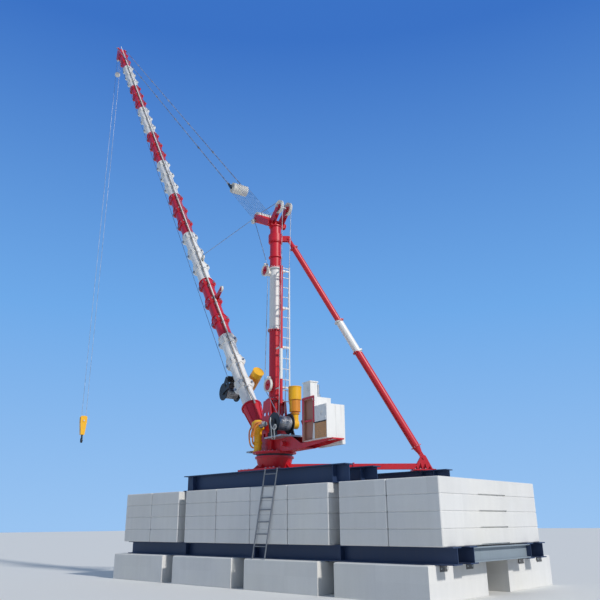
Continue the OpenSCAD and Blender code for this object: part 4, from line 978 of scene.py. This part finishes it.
pack_hoses = [
    [(-1.69, v, 3.74), (-1.52, v - 0.02, 3.66), (-1.28, v - 0.10, 3.50), (-1.04, v - 0.18, 3.48),
     (-0.82, v - 0.24, 3.60), (-0.70, v - 0.22, 3.86)] for v in (-0.14, -0.19)]
belly_hoses = [
    [(0.75, v, -0.24), (1.10, v - 0.03, -0.34), (1.60, v - 0.10, -0.42), (2.00, v - 0.16, -0.50),
     (2.30, v - 0.20, -0.60), (2.42, v - 0.22, -0.62)] for v in (-0.14, -0.18)]
for name, paths, radius, material, directions, body in (
        ("slew_hoses", slew_hoses, 0.020, "hose_orange", turning, "superstructure"),
        ("loop_hoses", loop_hoses, 0.013, "hose_pale", turning, "superstructure"),
        ("pack_hoses", pack_hoses, 0.018, "hose_black", turning, "superstructure"),
        ("belly_hoses", belly_hoses, 0.016, "hose_black", on_boom, "boom")):
    hoses(name, [smooth([directions(*p) for p in path]) for path in paths], radius, material, body)

# %% Line of the limit weight
WEIGHT_AHEAD, WEIGHT_DROP = 0.036, 0.84
WEIGHT_LINE_R = 0.006
weight_line = [tip_pin + AHEAD * WEIGHT_AHEAD, turning(ROPE_U, 0, tip_pin.z - WEIGHT_DROP)]
hoses("weight_line", [weight_line], WEIGHT_LINE_R, "pale_paint", "hoist_line")

# %% [markdown]
# ## Bars and wheels
# Frames, plates, clips and hinges are bars with slightly rounded edges. `bars` makes any number of them as
# one mesh, from opposite corners in the directions of the piece that they sit on. `wheel` turns a profile
# round an axis, for the small sheave on the mast head and the orange waist of painted shade on the hoist motor.

# %% Bars
def solid(name, shape, body, material):
    """A finished piece from a bmesh, with its faces turned outward."""
    bmesh.ops.recalc_face_normals(shape, faces=shape.faces[:])
    mesh = bpy.data.meshes.new(name)
    shape.to_mesh(mesh)
    shape.free()
    mesh.materials.append(materials[material])
    print(name, len(mesh.polygons), "faces")
    return place(name, mesh, body, material)


def bars(name, corners, directions, body, material, rounding=0.002):
    """Bars between opposite corners (low, high), as one mesh."""
    shape = bmesh.new()
    for low, high in corners:
        bar = bmesh.ops.create_cube(shape, size=1.0)
        for vertex in bar["verts"]:
            place_at = [low[k] + (high[k] - low[k]) * (vertex.co[k] + 0.5) for k in range(3)]
            vertex.co = directions(*place_at)
    bmesh.ops.bevel(shape, geom=shape.edges[:], offset=rounding, segments=2, affect="EDGES")
    return solid(name, shape, body, material)


def in_base(x, y, z):
    return Vector((x, y, z))


# %% Frame of the service bay, and the housing's hinges and panel edges
PACK_FACE_V = 0.250
PACK_TAIL_U, PACK_FRONT_U = -2.640, -1.700
BAY_U = -2.120
PANEL_TOP_Z = 3.590
PACK_TOP_Z, BAY_TOP_Z = 3.955, 4.190
POST, POST_T = 0.046, 0.006
PROUD = 0.008
bay_frame = [
    ((BAY_U - POST, PACK_FACE_V, PANEL_TOP_Z), (BAY_U + POST_T, PACK_FACE_V + PROUD, BAY_TOP_Z)),
    ((BAY_U - POST, PACK_FACE_V - 0.02, PACK_TOP_Z),
     (BAY_U - POST + POST_T, PACK_FACE_V + PROUD, BAY_TOP_Z + 0.02)),
    ((BAY_U, PACK_FACE_V, BAY_TOP_Z - 0.030), (PACK_FRONT_U + POST, PACK_FACE_V + PROUD, BAY_TOP_Z + 0.018)),
    ((BAY_U, PACK_FACE_V - 0.045, 3.640), (PACK_FRONT_U - POST, PACK_FACE_V - 0.005, 3.672))]
bars("bay_frame", bay_frame, turning, "superstructure", "red_paint")
HINGES_U, HINGES_Z = (-2.600, -2.300), (3.640, 3.890)
HINGE_HALF, HINGE_T, HINGE_H = 0.012, 0.012, 0.060
hinges = [((u - HINGE_HALF, side * PACK_FACE_V, z),
           (u + HINGE_HALF, side * (PACK_FACE_V + HINGE_T), z + HINGE_H))
          for side in (-1, 1) for u in HINGES_U for z in HINGES_Z]
bars("housing_hinges", hinges, turning, "superstructure", "white_paint")
panel_edges = [((PACK_TAIL_U + 0.010, side * (PACK_FACE_V - 0.004), PANEL_TOP_Z - 0.018),
                (BAY_U - 0.016, side * (PACK_FACE_V + 0.004), PANEL_TOP_Z)) for side in (-1, 1)]
bars("panel_edges", panel_edges, turning, "superstructure", "black_steel")

# %% Anchor plates on the end faces of the foot blocks
PLATE_Y = (-0.393, 0.593, 2.889, 3.836)
PLATE_HALF, PLATE_T = 0.130, 0.012
PLATE_Z = (0.535, 0.650)
PLATE_BOLT_Y = 0.09
foot_low, foot_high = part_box("foot_blocks")
plates = []
plate_bolts = []
for x, way in ((foot_low[0], -1), (foot_high[0], 1)):
    for y in PLATE_Y:
        outer = x + way * PLATE_T
        plates.append(((x, y - PLATE_HALF, PLATE_Z[0]), (outer, y + PLATE_HALF, PLATE_Z[1])))
        for side in (-1, 1):
            at = Vector((outer, y + side * PLATE_BOLT_Y, sum(PLATE_Z) / 2))
            plate_bolts.append((at, Vector((way, 0, 0))))
bars("anchor_plates", plates, in_base, "base", "anchor_steel")
bolts("anchor_bolts", plate_bolts, "base", size=0.014)

# %% Clips of the boom's pipe and cable, and the pins in the coupling ears
CLIP_FROM, CLIP_TO, CLIP_LOW_B, CLIP_LIFT = -0.455, -0.430, 0.190, 0.030
EAR_BEFORE_END = 0.166
EAR_HOLE_R, EAR_HALF = 0.258, 0.040
thirds = [BOOM_FOOT + k * SECTION / 3 for k in range(1, 3 * SECTIONS + 1)]
clips = [((s + CLIP_FROM, PIPE_V - 0.026, CLIP_LOW_B), (s + CLIP_TO, CABLE_V + 0.020, PIPE_B + CLIP_LIFT))
         for s in thirds]
bars("pipe_clips", clips, on_boom, "boom", "galvanised")
ear_places = []
for s in thirds:
    for quarter in range(4):
        angle = radians(45 + 90 * quarter)
        outward = LEFT * cos(angle) + BACK * sin(angle)
        sideways = outward.cross(ALONG)
        hole = on_boom(s - EAR_BEFORE_END, 0, 0) + outward * EAR_HOLE_R
        for side in (-1, 1):
            ear_places.append((hole + sideways * side * EAR_HALF, sideways * side))
bolts("ear_pins", ear_places, "boom", size=0.030)

# %% Small sheave on the mast head, and the orange waist of painted shade on the hoist motor
def wheel(name, centre, axis, profile, body, material, steps=48):
    """A solid of revolution round an axis: profile points (radius, offset along the axis)."""
    side = axis.orthogonal().normalized()
    other = axis.cross(side)
    shape = bmesh.new()
    rings = []
    for radius, offset in profile:
        turns = (tau * k / steps for k in range(steps))
        places = (centre + axis * offset + (side * cos(a) + other * sin(a)) * radius for a in turns)
        rings.append([shape.verts.new(p) for p in places])
    shape.faces.new(rings[0])
    shape.faces.new(rings[-1])
    for this, that in zip(rings, rings[1:]):
        for k in range(steps):
            nearby = (k + 1) % steps
            shape.faces.new((this[k], this[nearby], that[nearby], that[k]))
    return solid(name, shape, body, material)


# The orange waist round the hoist motor is painted shade: the motor's yellow as it looks in shade.
MOTOR_OUT = 0.240
WAIST_FROM, WAIST_TO, WAIST_R = 0.302, 0.760, 0.1665
motor_at = on_boom(HOIST_AT[0], HOIST_GEARBOX_V - MOTOR_OUT, HOIST_AT[1])
waist = [(WAIST_R, WAIST_FROM), (WAIST_R, WAIST_TO)]
wheel("hoist_motor_waist", motor_at, BACK, waist, "boom", "orange_paint")

GROOVE_R, WEB_R = HEAD_SHEAVE_R * 0.88, HEAD_SHEAVE_R * 0.76
half_rim = [(0.020, 0.020), (0.030, 0.020), (0.034, 0.006), (WEB_R, 0.006), (GROOVE_R, 0.020),
            (HEAD_SHEAVE_R, 0.020)]
rim = [(r, -offset) for r, offset in half_rim] + [(GROOVE_R, 0)] + half_rim[::-1]
sheave_at = turning(HEAD_SHEAVE_AT[0], HEAD_SHEAVE_V, HEAD_SHEAVE_AT[1])
wheel("head_guide_sheave", sheave_at, LEFT, rim, "superstructure", "sheave_white")
pin = [(0.016, -0.070), (0.016, 0.032), (0.011, 0.036)]
wheel("head_guide_pin", sheave_at, LEFT, pin, "superstructure", "galvanised")
HOLDER_HALF, HOLDER_V, HOLDER_UNDER = 0.045, (0.2965, 0.3085), 0.070
holder = ((HEAD_SHEAVE_AT[0] - HOLDER_HALF, HOLDER_V[0], HEAD_SHEAVE_AT[1] - HOLDER_HALF),
          (HEAD_SHEAVE_AT[0] + HOLDER_HALF, HOLDER_V[1], PACK_AT[1] - HOLDER_UNDER))
bars("head_guide_plate", [holder], turning, "superstructure", "red_paint", rounding=0.004)

# %% [markdown]
# ## Floor, background and light
# A plain pale floor under a clear sky keeps the eye on the crane. The light is one soft sun from the right,
# as in the photograph, and an even blue that fills the shaded sides. The camera and reflections see a sky
# that is pale at the horizon and deeper above, which doesn't change the light.

# %% Floor
FLOOR_HALF = 160.0
FLOOR_Z = -0.002
floor_mesh = bpy.data.meshes.new("floor")
corners = [(x * FLOOR_HALF, y * FLOOR_HALF, FLOOR_Z) for x, y in ((-1, -1), (1, -1), (1, 1), (-1, 1))]
floor_mesh.from_pydata(corners, [], [(0, 1, 2, 3)])
floor = add_object("floor", floor_mesh)
floor_finish = Finish("floor")
floor_finish.set("Base Color", (0.78, 0.78, 0.76))
floor_finish.set("Roughness", 0.95)
floor_finish.set("Specular IOR Level", 0.1)
floor_mesh.materials.append(floor_finish.material)

# %% Sky
SKY_STOPS = [(0.0, (0.32, 0.55, 0.88, 1)), (0.30, (0.16, 0.40, 0.81, 1)), (0.65, (0.045, 0.17, 0.56, 1))]
SKY_LIGHT, SKY_STRENGTH = (0.52, 0.70, 1.0), 0.44
world = bpy.data.worlds.new("world")
world.use_nodes = True
bpy.context.scene.world = world
tree = world.node_tree
light = tree.nodes["Background"]
plug(tree, light.inputs["Color"], SKY_LIGHT)
plug(tree, light.inputs["Strength"], SKY_STRENGTH)
direction = add_node(tree, "ShaderNodeTexCoord", output="Generated")
height = add_node(tree, "ShaderNodeSeparateXYZ", inputs={0: direction}, output="Z")
shades = add_node(tree, "ShaderNodeValToRGB", inputs={0: height})
ramp = shades.out.node.color_ramp.elements
ramp.new(0.5)
for stop, (position, colour) in zip(ramp, SKY_STOPS):
    stop.position = position
    stop.color = colour
shown = add_node(tree, "ShaderNodeBackground", inputs={"Color": shades})
rays = tree.nodes.new("ShaderNodeLightPath").outputs
seen = Socket(tree, rays["Is Camera Ray"])
for kind in ("Is Glossy Ray", "Is Transmission Ray"):
    seen = seen.maths("MAXIMUM", seen, Socket(tree, rays[kind]))
mixed = add_node(tree, "ShaderNodeMixShader", inputs={0: seen, 1: Socket(tree, light.outputs[0]), 2: shown})
plug(tree, tree.nodes["World Output"].inputs["Surface"], mixed)
print("sky ready")

# %% Sun
SUN_FROM = Vector((0.80, -0.03, 0.54)).normalized()
SUN_ENERGY, SUN_WIDTH = 2.6, radians(4)
sun_data = bpy.data.lights.new("sun", "SUN")
sun_data.energy = SUN_ENERGY
sun_data.angle = SUN_WIDTH
sun_data.color = (1.0, 0.96, 0.90)
sun = add_object("sun", sun_data)
sun.rotation_mode = "QUATERNION"
sun.rotation_quaternion = SUN_FROM.to_track_quat("Z", "Y")
bpy.context.scene.view_settings.view_transform = "Standard"
print("sun from", tuple(round(x, 2) for x in SUN_FROM))
